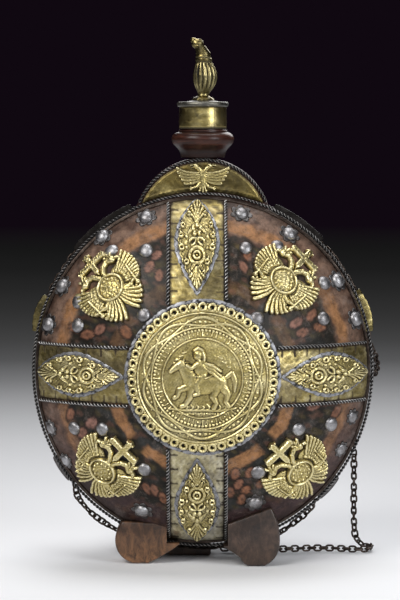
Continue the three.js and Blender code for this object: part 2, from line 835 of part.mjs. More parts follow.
const crestEagleBack = plateFront - clearance;
const crestEagleBottom = rimTop + rimOval * (wireOutside + clearance);
const crestEagleCentre = crestEagleBottom + crestEagleFlatten * crestEagleUnit;
const crestEagleFrame = new THREE.Matrix4()
  .makeRotationX(Math.PI / 2)
  .setPosition(0, crestEagleBack - crestEagleThickness / 2, crestEagleCentre)
  .scale(new THREE.Vector3(1, crestEagleFlatten, 1));
place('crest_eagle', birdSolid(birdOutlines, crestEagleUnit, crestEagleThickness, crestEagleFrame), brass);

// Chain holders: straps bowed over the chain, each spanning part of the rim

const chainLift = clearance + chainRadius;
const strapInner = rimRadius + chainLift + chainRadius + strapSlack;
const strapSide = chainRadius + clearance;

function wedge(from, to) {
  const reach = 2 * rimRadius;
  const outline = [[0, rimCentre]];
  for (const share of [0, 0.5, 1]) {
    const turn = (from + (to - from) * share) * degrees;
    outline.push([reach * Math.cos(turn), rimCentre + reach * Math.sin(turn)]);
  }
  return frontPrism(polygon(outline), -halfRim, halfRim);
}

// The strap's section: two feet on the rim, two sides and a top over the chain.
function strap(from, to, rise) {
  const foot = rimRadius + clearance;
  const outside = strapSide + strapThickness;
  const top = strapInner + rise;
  const section = [
    [foot, strapSide], [strapInner, strapSide], [strapInner, -strapSide], [foot, -strapSide],
    [foot, -outside - strapFootWidth], [foot + strapThickness, -outside - strapFootWidth],
    [foot + strapThickness, -outside], [top, -outside], [top, outside], [foot + strapThickness, outside],
    [foot + strapThickness, outside + strapFootWidth], [foot, outside + strapFootWidth], [foot, strapSide],
  ];
  return discTurned(section).intersect(wedge(from, to));
}

// Where the shoulder's outline meets the rim, in degrees from the top; the upper straps start past it.
const crestDistance = (crestCentre - rimCentre) / rimOval;
const crestMeets = Math.acos(
  (rimRadius ** 2 + crestDistance ** 2 - crestRadius ** 2) / (2 * rimRadius * crestDistance),
) / degrees;
const strapCrestGap = 0.5;
const saddleStart = crestMeets + strapCrestGap;

const lugRise = 2.4;
place('saddle_upper_left', strap(90 + saddleStart, 138, strapThickness), iron);
place('saddle_upper_right', strap(46, 90 - saddleStart, strapThickness), iron);
place('lug_left', strap(156, 168, lugRise), brass);
place('lug_right', strap(12, 26, lugRise), brass);
place('saddle_lower_left', strap(210, 219, strapThickness), tin);
place('saddle_lower_right', strap(313, 322, strapThickness), tin);

// Chain: three stretches, drawn as round solids of the links' outer size

function rimPoint(turn) {
  const radius = rimRadius + chainLift;
  return [radius * Math.cos(turn * degrees), 0, rimCentre + rimOval * radius * Math.sin(turn * degrees)];
}

const chainRoutes = {
  chain_rim_left: [118, 121, 124, 127, 130, 133, 136, 139, 142, 145, 148, 151, 154, 157, 160].map(rimPoint),
  chain_bottom: [
    ...[214, 217, 220].map(rimPoint), [-93.4, 0, 46.4], [-88.4, 0, 38.8], [-82.4, 0, 32.4], [-75.4, 0, 27],
    [-67.8, 0, 22.2], [-59, 0, 17.6], [-49, 0, 13.6], [-38, 0, 10.6], [-26, 0, 8.8], [-13, 0, 7.8],
    [0, 0, 7.5], [13, 0, 7.8], [26, 0, 8.8], [38, 0, 10.8], [49, 0, 14.2], [59, 0, 19.2], [67.6, 0, 25.2],
    [75.2, 0, 31.6], [81.6, 0, 38.2], ...[314, 317, 320].map(rimPoint),
  ],
  chain_tail: [
    ...[62, 57, 52, 47, 42, 37, 32, 27, 22, 17, 12, 8].map(rimPoint),
    [127.2, 4, 150], [130, 14, 142], [128.4, 26, 134], [121.5, 36, 125], [116, 39.5, 112], [114.6, 40, 96],
    [114.4, 40, 76], [114.4, 40, 56], [114.4, 40, 36], [114.6, 40, 20], [116, 39.5, 8.5], [120.5, 38, 3.2],
    [125.5, 33, 2.9], [126.5, 25, 2.9], [123, 18.5, 2.9], [115, 16.5, 2.9], [105, 19, 2.9], [94, 21.5, 2.9],
    [82, 21.5, 2.9], [69, 19, 2.9], [56, 17, 2.9], [43, 18, 2.9], [30, 20, 2.9], [20, 20, 2.9], [13, 20, 2.9],
  ],
};

// A staple in the side of the rear foot holds the loose end's last link.
function tailStaple() {
  const seat = rearFootRight + clearance;
  return tube([
    new THREE.Vector3(seat, stapleDepth - stapleHalfWidth, stapleHeight),
    new THREE.Vector3(seat + 0.6 * stapleReach, stapleDepth - 0.9 * stapleHalfWidth, stapleHeight),
    new THREE.Vector3(seat + stapleReach, stapleDepth, stapleHeight),
    new THREE.Vector3(seat + 0.6 * stapleReach, stapleDepth + 0.9 * stapleHalfWidth, stapleHeight),
    new THREE.Vector3(seat, stapleDepth + stapleHalfWidth, stapleHeight),
  ], stapleWire, 6, 10);
}

place('tail_staple', tailStaple(), iron);

for (const [name, route] of Object.entries(chainRoutes)) {
  const points = route.map(([x, y, z]) => new THREE.Vector3(x, y, z));
  const length = new THREE.CatmullRomCurve3(points, false, 'centripetal').getLength();
  place(name, tube(points, chainRadius, chainSides, Math.round(length / (4.4 * chainRadius))), iron);
}

// The medallion's rider stands further out than the bare back, so the whole is set back by half of that
// to centre its depth over the origin.
flask.position.y = (medallionLift + medallionThickness + riderRelief) / 2;

export default flask;
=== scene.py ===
import math

import bpy
import bmesh
import numpy as np
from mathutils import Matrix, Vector

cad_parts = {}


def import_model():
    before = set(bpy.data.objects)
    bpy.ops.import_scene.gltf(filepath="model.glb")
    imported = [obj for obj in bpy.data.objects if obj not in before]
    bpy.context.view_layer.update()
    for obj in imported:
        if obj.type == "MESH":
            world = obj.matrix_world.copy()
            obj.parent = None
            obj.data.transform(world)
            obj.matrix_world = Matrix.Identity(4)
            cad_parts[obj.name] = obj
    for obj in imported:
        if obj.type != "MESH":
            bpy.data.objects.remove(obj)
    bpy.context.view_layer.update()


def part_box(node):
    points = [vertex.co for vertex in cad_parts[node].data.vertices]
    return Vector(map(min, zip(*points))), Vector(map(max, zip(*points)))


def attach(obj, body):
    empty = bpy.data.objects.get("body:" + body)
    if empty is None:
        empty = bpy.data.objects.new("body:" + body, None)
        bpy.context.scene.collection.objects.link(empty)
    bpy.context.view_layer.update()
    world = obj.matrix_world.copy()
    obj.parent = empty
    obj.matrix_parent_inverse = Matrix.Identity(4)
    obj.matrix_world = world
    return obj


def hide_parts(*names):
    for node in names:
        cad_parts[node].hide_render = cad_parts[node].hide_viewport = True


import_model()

MM = 0.001


def node_box(name):
    low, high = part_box(name)
    return np.array(low) / MM, np.array(high) / MM


# Sizes read from the frame
wire_low, wire_high = node_box("rim_rope_front")
rear_wire_high = node_box("rim_rope_rear")[1]
body_low, body_high = node_box("body_shell")
MID_Y = (wire_low[1] + rear_wire_high[1]) / 2
RIM_Z = (wire_low[2] + wire_high[2]) / 2
RIM_OVAL = (wire_high[2] - wire_low[2]) / (wire_high[0] - wire_low[0])
RIM_RADIUS = (body_high[0] - body_low[0]) / 2
HALF_RIM = (rear_wire_high[1] - wire_low[1]) / 2
DOME_HEIGHT = MID_Y - body_low[1]
DOME_RISE = DOME_HEIGHT - HALF_RIM
DOME_RADIUS = (RIM_RADIUS ** 2 + DOME_RISE ** 2) / (2 * DOME_RISE)
SPHERE_Y = DOME_RADIUS - DOME_HEIGHT

# Layers on the front, from the wood outwards: where sheets start and how thick they are
FIT = 0.3
ARM_LIFT = FIT
ARM_SHEET = 0.7
BED_LIFT = ARM_LIFT + ARM_SHEET + FIT
BED_SHEET = 0.5
LOZENGE_LIFT = BED_LIFT + BED_SHEET + FIT
LOZENGE_SHEET = 0.8
BACKING_SHEET = 0.5
MEDALLION_LIFT = BED_LIFT + 0.6 + FIT
DISH_SHEET = 0.7
BORDER_SHEET = 0.6
BADGE_SHEET = 0.9
CREST_SHEET = 0.7


# Curves and surfaces

def smooth_step(low, high, value):
    share = np.clip((value - low) / (high - low), 0, 1)
    return share * share * (3 - 2 * share)


def waves(x, y, scale, seed=0, z=0.0):
    """Soft repeatable unevenness between -1 and 1, made of a few crossed sine waves."""
    total = np.zeros(np.broadcast(x, y, z).shape)
    for i in range(5):
        a, b, c = 1.7 * i + seed, 2.9 * i + 2 * seed, 4.1 * i + 3 * seed
        k = (1 + 0.45 * i) / scale
        total = total + np.sin(k * (x * math.cos(a) + y * math.sin(b) + z * math.cos(c)) * 6.28 + a + b + c)
    return total / 5


def catmull(points, spacing):
    """A centripetal Catmull-Rom curve through the points, at about the given spacing."""
    points = np.asarray(points, float)
    ends = [2 * points[0] - points[1], 2 * points[-1] - points[-2]]
    knots = np.vstack([ends[:1], points, ends[1:]])
    line = []
    for i in range(1, len(knots) - 2):
        p0, p1, p2, p3 = knots[i - 1:i + 3]
        t0 = 0
        t1 = t0 + max(np.linalg.norm(p1 - p0), 1e-9) ** 0.5
        t2 = t1 + max(np.linalg.norm(p2 - p1), 1e-9) ** 0.5
        t3 = t2 + max(np.linalg.norm(p3 - p2), 1e-9) ** 0.5
        count = max(2, round(float(np.linalg.norm(p2 - p1)) / spacing))
        for t in np.linspace(t1, t2, count, endpoint=False):
            a1 = (t1 - t) / (t1 - t0) * p0 + (t - t0) / (t1 - t0) * p1
            a2 = (t2 - t) / (t2 - t1) * p1 + (t - t1) / (t2 - t1) * p2
            a3 = (t3 - t) / (t3 - t2) * p2 + (t - t2) / (t3 - t2) * p3
            b1 = (t2 - t) / (t2 - t0) * a1 + (t - t0) / (t2 - t0) * a2
            b2 = (t3 - t) / (t3 - t1) * a2 + (t - t1) / (t3 - t1) * a3
            line.append((t2 - t) / (t2 - t1) * b1 + (t - t1) / (t2 - t1) * b2)
    line.append(points[-1])
    return np.array(line)


def resample(line, spacing):
    """The line at even steps of about the given spacing, and its length."""
    steps = np.linalg.norm(np.diff(line, axis=0), axis=1)
    reach = np.concatenate([[0], np.cumsum(steps)])
    count = max(2, round(float(reach[-1]) / spacing) + 1)
    at = np.linspace(0, reach[-1], count)
    return np.stack([np.interp(at, reach, line[:, k]) for k in range(3)], axis=1), reach[-1]


def bezier(start, control, end, count=12):
    """Places along a curve with one control point, without its end."""
    t = np.linspace(0, 1, count, endpoint=False)[:, None]
    start, control, end = (np.asarray(p, float) for p in (start, control, end))
    return (1 - t) ** 2 * start + 2 * t * (1 - t) * control + t ** 2 * end


def full_turn(count):
    """Even turns round a circle, in radians."""
    return np.linspace(0, 2 * np.pi, count, endpoint=False)


def rounded(share):
    """Height of a round section at a share of the way to its edge."""
    return np.sqrt(np.clip(1 - share ** 2, 0, 1))


def polar(radius, turn):
    return (radius * math.cos(turn), radius * math.sin(turn))


def dome_depth(radius):
    """Distance of either dome from the flask's middle plane, at a distance from the face's middle."""
    return math.sqrt(DOME_RADIUS ** 2 - radius * radius) - SPHERE_Y


def dome_offset(points):
    """How far points lie outside the front dome, and the outward normal there."""
    away = points - np.array([0, MID_Y + SPHERE_Y, RIM_Z])
    away[..., 2] /= RIM_OVAL
    reach = np.linalg.norm(away, axis=-1)
    normal = away / reach[..., None]
    normal[..., 2] /= RIM_OVAL
    return reach - DOME_RADIUS, normal


def unit(vectors):
    return vectors / np.linalg.norm(vectors, axis=-1, keepdims=True)


def on_dome(x, z, lift=0.0):
    """Points over the front dome at front-view places x, z (z from the middle of the face)."""
    x, z = np.asarray(x, float), np.asarray(z, float)
    radius = np.minimum(np.hypot(x, z / RIM_OVAL), DOME_RADIUS * 0.999)
    depth = MID_Y + SPHERE_Y - np.sqrt(DOME_RADIUS ** 2 - radius ** 2)
    points = np.stack([x, depth, RIM_Z + z], axis=-1)
    normal = unit(dome_offset(points)[1])
    return points + normal * np.asarray(lift)[..., None], normal


# Pieces

def add_object(name, data):
    obj = bpy.data.objects.new(name, data)
    bpy.context.scene.collection.objects.link(obj)
    return obj


def put(name, mesh, material, body="flask", nodes=()):
    """Places a mesh in the scene with its finish, its body and the nodes that it stands for."""
    obj = add_object(name, mesh)
    mesh.materials.append(material)
    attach(obj, body)
    if nodes:
        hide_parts(*nodes)
    return obj


def piece(name, points, faces, material, slot, body="flask", nodes=(), hollow=None, colour=None, sharp=40):
    """A smooth-shaded piece; its finish reads hollow and colour from its points."""
    mesh = bpy.data.meshes.new(name)
    mesh.from_pydata((np.asarray(points) * MM).tolist(), [], [tuple(map(int, f)) for f in faces])
    mesh.validate()
    mesh.shade_smooth()
    mesh.set_sharp_from_angle(angle=math.radians(sharp))
    if hollow is not None:
        mesh.attributes.new("hollow", "FLOAT", "POINT").data.foreach_set("value", np.asarray(hollow, float))
    if colour is not None:
        rgba = np.concatenate([colour, np.ones((len(colour), 1))], axis=1)
        mesh.attributes.new("paint", "FLOAT_COLOR", "POINT").data.foreach_set("color", rgba.ravel())
    return put(name, mesh, material, body, nodes)


def join_parts(parts):
    """One list of points and faces from several, each a pair (points, faces)."""
    points, faces, start = [], [], 0
    for part_points, part_faces in parts:
        points.append(part_points)
        faces.extend([tuple(i + start for i in face) for face in part_faces])
        start += len(part_points)
    return np.vstack(points), faces


def grid_faces(rows, columns, wrap_rows=False):
    """Four-sided faces between rings of points, each ring closed on itself."""
    faces = []
    for i in range(rows if wrap_rows else rows - 1):
        for j in range(columns):
            a, b = i * columns + j, i * columns + (j + 1) % columns
            c, d = ((i + 1) % rows) * columns + (j + 1) % columns, ((i + 1) % rows) * columns + j
            faces.append((a, b, c, d))
    return faces


def lathe(profile, sides, axis):
    """Turns (radius, height) pairs. The axis "neck" is upright and "face" runs from front to back."""
    profile = np.asarray(profile, float)
    turn = full_turn(sides)
    radius, height = profile[:, 0][:, None], profile[:, 1][:, None]
    across, other = radius * np.cos(turn), radius * np.sin(turn)
    level = np.broadcast_to(height, across.shape)
    if axis == "neck":
        points = np.stack([across, MID_Y + other, level], axis=-1)
    else:
        points = np.stack([across, MID_Y + level, RIM_Z + RIM_OVAL * other], axis=-1)
    return points.reshape(-1, 3)


def capped(faces, count, sides, flip=False):
    """Adds both end faces to a row of rings; count is the number of all their points."""
    low, high = tuple(range(sides)), tuple(range(count - sides, count))
    return faces + ([low, high[::-1]] if flip else [low[::-1], high])


def turned(profile, sides, axis, ring=False, flip=False):
    """Points and faces of a turned piece; a ring's profile closes on itself, any other gets end faces."""
    points = lathe(profile, sides, axis)
    faces = grid_faces(len(profile), sides, wrap_rows=ring)
    if flip:
        faces = [face[::-1] for face in faces]
    return points, faces if ring else capped(faces, len(points), sides, flip)


def frames(line, hint):
    """Tangents and two cross directions along a line; hint is one direction or one for each point."""
    tangent = unit(np.gradient(line, axis=0))
    hint = np.broadcast_to(np.asarray(hint, float), line.shape)
    first = unit(hint - (hint * tangent).sum(1, keepdims=True) * tangent)
    return tangent, first, np.cross(tangent, first)


def tube_part(line, first, second, radius, sides, closed=False):
    """A round tube along a line, given its two cross directions at each point."""
    turn = full_turn(sides)
    radius = np.broadcast_to(np.asarray(radius, float), (len(line),))
    ring = np.cos(turn)[None, :, None] * first[:, None] + np.sin(turn)[None, :, None] * second[:, None]
    points = (line[:, None] + ring * radius[:, None, None]).reshape(-1, 3)
    faces = grid_faces(len(line), sides, wrap_rows=closed)
    return points, faces if closed else capped(faces, len(points), sides)


def twisted_wire(line, hint, radius, pitch, closed=False):
    """Two round strands laid round each other along a line; returns points, faces and hollows: painted shade
    where the strands meet, a painted highlight on their outer sides.
    """
    strand, sides = 0.52 * radius, 7
    line, length = resample(line, pitch / 10)
    hint = np.asarray(hint, float)
    if hint.ndim == 2:
        hint = hint[np.linspace(0, len(hint) - 1, len(line)).round().astype(int)]
    first, second = frames(line, hint)[1:]
    if closed:
        line, first, second = line[:-1], first[:-1], second[:-1]
    turns = round(length / pitch)
    share = np.arange(len(line)) / (len(line) if closed else len(line) - 1)
    parts, hollow = [], []
    for start in (0, np.pi):
        angle = 2 * np.pi * turns * share + start
        lean = np.cos(angle)[:, None] * first + np.sin(angle)[:, None] * second
        centre = line + lean * (radius - strand)
        points, faces = tube_part(centre, first, second, strand, sides, closed)
        parts.append((points, faces))
        reach = np.linalg.norm(points - np.repeat(line, sides, axis=0), axis=1)
        # Painted shade on each strand's side towards the wire's middle, painted highlight on its outer side
        hollow.append(1.1 - 1.5 * smooth_step(0.66 * radius, 1.0 * radius, reach))
    points, faces = join_parts(parts)
    return points, faces, np.concatenate(hollow)


def blurred(field, width):
    """The field smoothed by so many passes over its neighbours."""
    for _ in range(width):
        for axis in (0, 1):
            field = (np.roll(field, 1, axis) + 2 * field + np.roll(field, -1, axis)) / 4
    return field


# Distance from the edge of a worked sheet over which it thins
EDGE_FALL = 0.35


class Relief:
    """A sheet worked up from the back: heights and an outline on a grid of flat places u, v."""

    def __init__(self, low, high, step):
        self.step = step
        across = np.arange(low[0], high[0] + step, step)
        up = np.arange(low[1], high[1] + step, step)
        self.u, self.v = np.meshgrid(across, up, indexing="ij")
        self.height = np.zeros_like(self.u)
        self.outline = np.full_like(self.u, 1e3)
        self.dirt_and_shade = np.zeros_like(self.u)
        self.edge_set = False

    def waves(self, scale, seed):
        return waves(self.u, self.v, scale, seed)

    def cut(self, outline):
        """Sets the sheet's edge, which what is raised later doesn't change."""
        self.outline = outline
        self.edge_set = True

    def add(self, distance, height):
        self.height = np.maximum(self.height, height)
        if not self.edge_set:
            self.outline = np.minimum(self.outline, distance)

    def boss(self, u, v, radius, height):
        distance = np.hypot(self.u - u, self.v - v)
        self.add(distance - radius, height * rounded(distance / radius))

    def ring(self, u, v, radius, half_width, height):
        distance = np.abs(np.hypot(self.u - u, self.v - v) - radius)
        self.add(distance - half_width, height * rounded(distance / half_width))

    def eye(self, u, v, radius):
        """Dirt and painted shade in a small sunk spot."""
        distance = np.hypot(self.u - u, self.v - v)
        self.dirt_and_shade = np.maximum(self.dirt_and_shade, 1.2 * smooth_step(1.25 * radius, 0.6 * radius, distance))

    def ridge(self, path, half_width, height, flat=0.0):
        """A raised strip along a path; half_width may change along it, and flat is the level share."""
        path = np.asarray(path, float)
        widths = np.broadcast_to(np.asarray(half_width, float), (len(path),))
        best = np.full_like(self.u, 1e3)
        for (a, b, wa, wb) in zip(path[:-1], path[1:], widths[:-1], widths[1:]):
            run = b - a
            t = np.clip(((self.u - a[0]) * run[0] + (self.v - a[1]) * run[1]) / (run @ run + 1e-9), 0, 1)
            distance = np.hypot(self.u - a[0] - t * run[0], self.v - a[1] - t * run[1])
            width = wa + (wb - wa) * t
            best = np.minimum(best, (distance - width) / width)
        inside = np.clip((best + 1 - flat) / (1 - flat), 0, 1)
        self.add(best * float(np.mean(widths)), height * rounded(inside))

    def leaf(self, base, tip, half_width, height):
        """A pointed leaf or feather with a sunk middle line."""
        base, tip = np.asarray(base, float), np.asarray(tip, float)
        run = tip - base
        length = float(np.hypot(*run))
        along = ((self.u - base[0]) * run[0] + (self.v - base[1]) * run[1]) / length
        side = np.abs((self.u - base[0]) * run[1] - (self.v - base[1]) * run[0]) / length
        t = np.clip(along / length, 0.001, 0.999)
        width = half_width * np.maximum(np.sin(np.pi * t ** 0.72) ** 0.7, 0.02)
        over = np.maximum(-along, along - length)
        distance = np.where(over > 0, np.hypot(over, side), side - width)
        swell = rounded(side / width)
        vein = 1 - 0.45 * np.exp(-(side / (0.22 * half_width)) ** 2)
        self.add(distance, np.where(over > 0, 0, height * swell * vein))

    def chase(self, depth):
        """Small uneven dents of the punch over everything raised so far."""
        dents = 2.2 * self.waves(6.3, 4) * self.waves(5.1, 11) + 0.5 * self.waves(3.7, 8)
        self.height = np.maximum(self.height + depth * dents, 0)

    def hollows(self):
        """How sunk each place is: 1 where dirt and painted shade gather, below 0 on raised edges, which are
        rubbed bright and given a painted highlight.
        """
        # Painted shade: darker in narrow creases, in wide recesses and on the low ground between raised
        # forms
        near = blurred(self.height, 2) - self.height
        wide = blurred(self.height, 10) - self.height
        low = 0.3 * (1 - smooth_step(0.0, 0.3, self.height))
        return np.clip(2.2 * near + 1.0 * wide + low + self.dirt_and_shade, -1, 1)

    def solid(self, lay, lift, sheet):
        """Closed points, faces and hollows; lay(u, v, lift) puts flat points on what carries the sheet."""
        grad_u, grad_v = np.gradient(self.outline, self.step)
        size = np.maximum(np.hypot(grad_u, grad_v), 0.3)
        outside = np.clip(self.outline, 0, 1.5 * self.step)
        u = self.u - outside * grad_u / size ** 2
        v = self.v - outside * grad_v / size ** 2
        distance = self.outline
        corners = np.stack([distance[:-1, :-1], distance[1:, :-1], distance[1:, 1:], distance[:-1, 1:]])
        keep = (corners.mean(0) < 0.15 * self.step) & (corners.max(0) < 1.1 * self.step)
        by_corner = keep[:-1, :-1] & keep[1:, 1:] & ~keep[1:, :-1] & ~keep[:-1, 1:]
        keep[1:, :-1] |= by_corner
        by_corner = keep[1:, :-1] & keep[:-1, 1:] & ~keep[:-1, :-1] & ~keep[1:, 1:]
        keep[:-1, :-1] |= by_corner
        index = np.arange(self.u.size).reshape(self.u.shape)
        cells = np.stack([index[:-1, :-1], index[1:, :-1], index[1:, 1:], index[:-1, 1:]], axis=-1)[keep]
        used, flat = np.unique(cells, return_inverse=True)
        cells = flat.reshape(cells.shape)
        top = self.height.ravel()[used]
        falls = smooth_step(0, EDGE_FALL, -distance.ravel()[used])
        hollows = self.hollows().ravel()[used]
        u, v = u.ravel()[used], v.ravel()[used]
        upper = lay(u, v, lift + sheet * (0.55 + 0.45 * falls) + top * falls)
        lower = lay(u, v, np.full(len(used), lift))
        edges = {}
        for cell in cells.tolist():
            for a, b in zip(cell, cell[1:] + cell[:1]):
                if (b, a) in edges:
                    del edges[(b, a)]
                else:
                    edges[(a, b)] = True
        count = len(used)
        faces = cells.tolist() + [[i + count for i in cell[::-1]] for cell in cells.tolist()]
        faces += [[b, a, a + count, b + count] for a, b in edges]
        return np.vstack([upper, lower]), faces, np.concatenate([hollows, np.ones(count)])


def face_spot(turn, stretch=1.0, drift=0.0):
    """Front-view places of a pattern whose u runs outwards from the middle of the face at the given turn."""
    cos, sin = math.cos(turn), math.sin(turn)
    return lambda u, v: (drift + u * stretch * cos - v * sin, u * stretch * sin + v * cos)


def face_lay(spot):
    return lambda u, v, lift: on_dome(*spot(u, v), lift)[0]


def spot_lay(x, z, head_turn):
    """Places a pattern round a spot of the front dome, with its v towards head_turn in the front view."""
    centre, out = on_dome(x, z)
    up = np.array([math.cos(head_turn), 0, math.sin(head_turn)])
    up = unit(up - (up @ out) * out)
    across = np.cross(up, out)

    def lay(u, v, lift):
        points = centre + u[..., None] * across + v[..., None] * up
        for _ in range(6):
            gap, normal = dome_offset(points)
            points = points - (gap / np.maximum(normal @ out, 0.2))[..., None] * out
        return points + unit(dome_offset(points)[1]) * np.asarray(lift)[..., None]
    return lay


def sheet_piece(node, kind, sheet, lay, lift, thickness, material, slot):
    """The piece for a node that is one worked sheet; kind ends its name."""
    points, faces, hollow = sheet.solid(lay, lift, thickness)
    piece(f"{node}_{kind}", points, faces, material, slot, nodes=[node], hollow=hollow)


# Node materials

class Nodes:
    """Short names for the shader nodes that the finishes share."""

    def __init__(self, name):
        self.material = bpy.data.materials.new(name)
        self.material.use_nodes = True
        self.tree = self.material.node_tree
        self.shader = self.tree.nodes["Principled BSDF"]
        self.place = self.tree.nodes.new("ShaderNodeTexCoord").outputs["Object"]

    def link(self, source, socket):
        if hasattr(source, "is_output"):
            self.tree.links.new(source, socket)
        else:
            socket.default_value = source

    def noise(self, scale, detail=4.0, rough=0.6, warp=0.0, place=None):
        node = self.tree.nodes.new("ShaderNodeTexNoise")
        node.inputs["Scale"].default_value = scale
        node.inputs["Detail"].default_value = detail
        node.inputs["Roughness"].default_value = rough
        node.inputs["Distortion"].default_value = warp
        self.tree.links.new(place or self.place, node.inputs["Vector"])
        return node.outputs["Fac"]

    def stretched(self, x, y, z):
        node = self.tree.nodes.new("ShaderNodeMapping")
        node.inputs["Scale"].default_value = (x, y, z)
        self.tree.links.new(self.place, node.inputs["Vector"])
        return node.outputs["Vector"]

    def ramp(self, source, *stops):
        node = self.tree.nodes.new("ShaderNodeValToRGB")
        elements = node.color_ramp.elements
        while len(elements) < len(stops):
            elements.new(0.5)
        for element, (at, colour) in zip(elements, stops):
            element.position = at
            element.color = (*colour, 1) if hasattr(colour, "__len__") else (colour, colour, colour, 1)
        self.tree.links.new(source, node.inputs["Fac"])
        return node.outputs["Color"]

    def mix(self, share, a, b, blend="MIX"):
        node = self.tree.nodes.new("ShaderNodeMix")
        node.data_type = "RGBA"
        node.blend_type = blend
        for source, socket in ((share, node.inputs[0]), (a, node.inputs[6]), (b, node.inputs[7])):
            if not hasattr(source, "is_output") and hasattr(source, "__len__"):
                source = (*source, 1)
            self.link(source, socket)
        return node.outputs[2]

    def maths(self, operation, a, b=0.0, clamp=False):
        node = self.tree.nodes.new("ShaderNodeMath")
        node.operation = operation
        node.use_clamp = clamp
        self.link(a, node.inputs[0])
        self.link(b, node.inputs[1])
        return node.outputs[0]

    def height(self):
        node = self.tree.nodes.new("ShaderNodeSeparateXYZ")
        self.tree.links.new(self.place, node.inputs[0])
        return node.outputs["Z"]

    def attribute(self, name, output="Fac"):
        node = self.tree.nodes.new("ShaderNodeAttribute")
        node.attribute_name = name
        return node.outputs[output]

    def bump(self, height, strength, distance, under=None):
        node = self.tree.nodes.new("ShaderNodeBump")
        node.inputs["Strength"].default_value = strength
        node.inputs["Distance"].default_value = distance * MM
        self.tree.links.new(height, node.inputs["Height"])
        if under is not None:
            self.tree.links.new(under, node.inputs["Normal"])
        return node.outputs["Normal"]

    def finish(self, colour, roughness, metallic, normal, **constants):
        self.link(colour, self.shader.inputs["Base Color"])
        self.link(roughness, self.shader.inputs["Roughness"])
        self.link(metallic, self.shader.inputs["Metallic"])
        self.link(normal, self.shader.inputs["Normal"])
        for name, value in constants.items():
            self.shader.inputs[name.replace("_", " ")].default_value = value
        return self.material


def metal(name, dark, mid, light, grime_and_shade, roughness, patch=38.0, pits=0.12, blotch=0.35, tarnish=None,
          veil=0.0, beaten=0.25, grit=0.0):
    """A worked metal: uneven tone, tarnish, rubbed edges with a painted highlight, grime and painted shade
    in the hollows, pits and scratches.
    """
    n = Nodes(name)
    patches = n.noise(patch, 5, 0.65, 0.6)
    fine = n.noise(620, 3, 0.7)
    scratch = n.noise(55, 6, 0.75, 0, n.stretched(1, 4, 14))
    tone = n.ramp(patches, (0.28, dark), (0.5, mid), (0.72, light))
    tone = n.mix(n.ramp(scratch, (0.45, 0), (0.75, 0.35)), tone, light)
    if tarnish:
        tone = n.mix(n.ramp(n.noise(patch * 0.6, 6, 0.7, 1.0), (0.44, 0), (0.62, veil)), tone, tarnish)
    if grit:
        tone = n.mix(n.ramp(n.noise(300, 5, 0.8, 0.4), (0.5, 0), (0.66, grit)), tone, grime_and_shade)
    # The hollow attribute: above 0 it darkens towards the grime tone, dirt and painted shade in the hollows;
    # below 0 it lightens towards the rubbed tone, wear and a painted highlight on raised edges
    hollow = n.attribute("hollow")
    rubbed = n.maths("MULTIPLY", hollow, -1.1, True)
    tone = n.mix(rubbed, tone, light)
    stains = n.ramp(n.noise(patch * 2.3, 6, 0.75, 1.2), (0.56, 0), (0.7, blotch))
    dirt_and_shade = n.maths("ADD", hollow, stains, True)
    tone = n.mix(dirt_and_shade, tone, grime_and_shade)
    shine = n.maths("ADD", n.maths("MULTIPLY", patches, 0.22), roughness - 0.11)
    shine = n.maths("ADD", shine, n.maths("MULTIPLY", dirt_and_shade, 0.35), True)
    sheen = n.maths("SUBTRACT", 1.0, n.maths("MULTIPLY", dirt_and_shade, 0.6))
    normal = n.bump(patches, beaten, 0.6)
    normal = n.bump(fine, pits, 0.25, normal)
    return n.finish(tone, shine, sheen, normal)


# Pale wear on the painted front, and how far the lighter streaks climb from a sole
SCUFF = (0.21, 0.17, 0.15)
SOLE_REACH = 24.0


def wood(name, dark, mid, light, roughness, grain, wear=0.4, worn=(0.36, 0.17, 0.06), coat=0.0,
         painted=False, sole=0.0, specular=0.4):
    """Old wood: long grain, pores, knocks and rubbed patches, over a painted colour where there is one."""
    n = Nodes(name)
    long_grain = n.noise(70, 6, 0.7, 0.8, n.stretched(*grain))
    pores = n.noise(260, 3, 0.6, 0, n.stretched(*grain))
    rubbed = n.noise(30, 8, 0.78, 0.2)
    specks = n.noise(330, 4, 0.7)
    tone = n.ramp(long_grain, (0.3, dark), (0.5, mid), (0.72, light))
    if painted:
        tone = n.mix(0.05, n.attribute("paint", "Color"), tone)
        strokes = n.ramp(n.noise(170, 8, 0.75, 0.3), (0.36, 0.5), (0.5, 0.95), (0.64, 1.4))
        tone = n.mix(1.0, tone, strokes, "MULTIPLY")
        tone = n.mix(n.ramp(rubbed, (0.58, 0), (0.68, wear)), tone, worn)
        tone = n.mix(n.ramp(n.noise(110, 9, 0.8, 0.3), (0.58, 0), (0.68, 0.65)), tone, dark)
        tone = n.mix(n.ramp(n.noise(75, 9, 0.85, 0.2), (0.52, 0), (0.65, 0.45)), tone, SCUFF)
    else:
        tone = n.mix(n.ramp(rubbed, (0.5, 0), (0.68, wear)), tone, worn)
    # Lighter streaks along the grain towards the sole
    if sole:
        level = n.maths("MULTIPLY", n.height(), 1 / (SOLE_REACH * MM), True)
        fade = n.ramp(level, (0.0, sole), (1.0, 0.0))
        streaks = n.ramp(long_grain, (0.35, 0), (0.6, 1))
        tone = n.mix(n.maths("MULTIPLY", fade, streaks), tone, worn)
    tone = n.mix(n.ramp(specks, (0.62, 0), (0.72, 0.55)), tone, dark)
    # Darker where the hollow attribute is set: dark joints and grooves, and painted shade on the neck below
    # its ring
    tone = n.mix(n.maths("MULTIPLY", n.attribute("hollow"), 0.8), tone, dark)
    shine = n.maths("ADD", n.maths("MULTIPLY", rubbed, 0.35), roughness - 0.17, True)
    normal = n.bump(long_grain, 0.18, 0.35)
    normal = n.bump(pores, 0.16, 0.2, normal)
    normal = n.bump(rubbed, 0.3, 0.6, normal)
    return n.finish(tone, shine, 0.0, normal, Coat_Weight=coat, Coat_Roughness=0.25,
                    Specular_IOR_Level=specular)
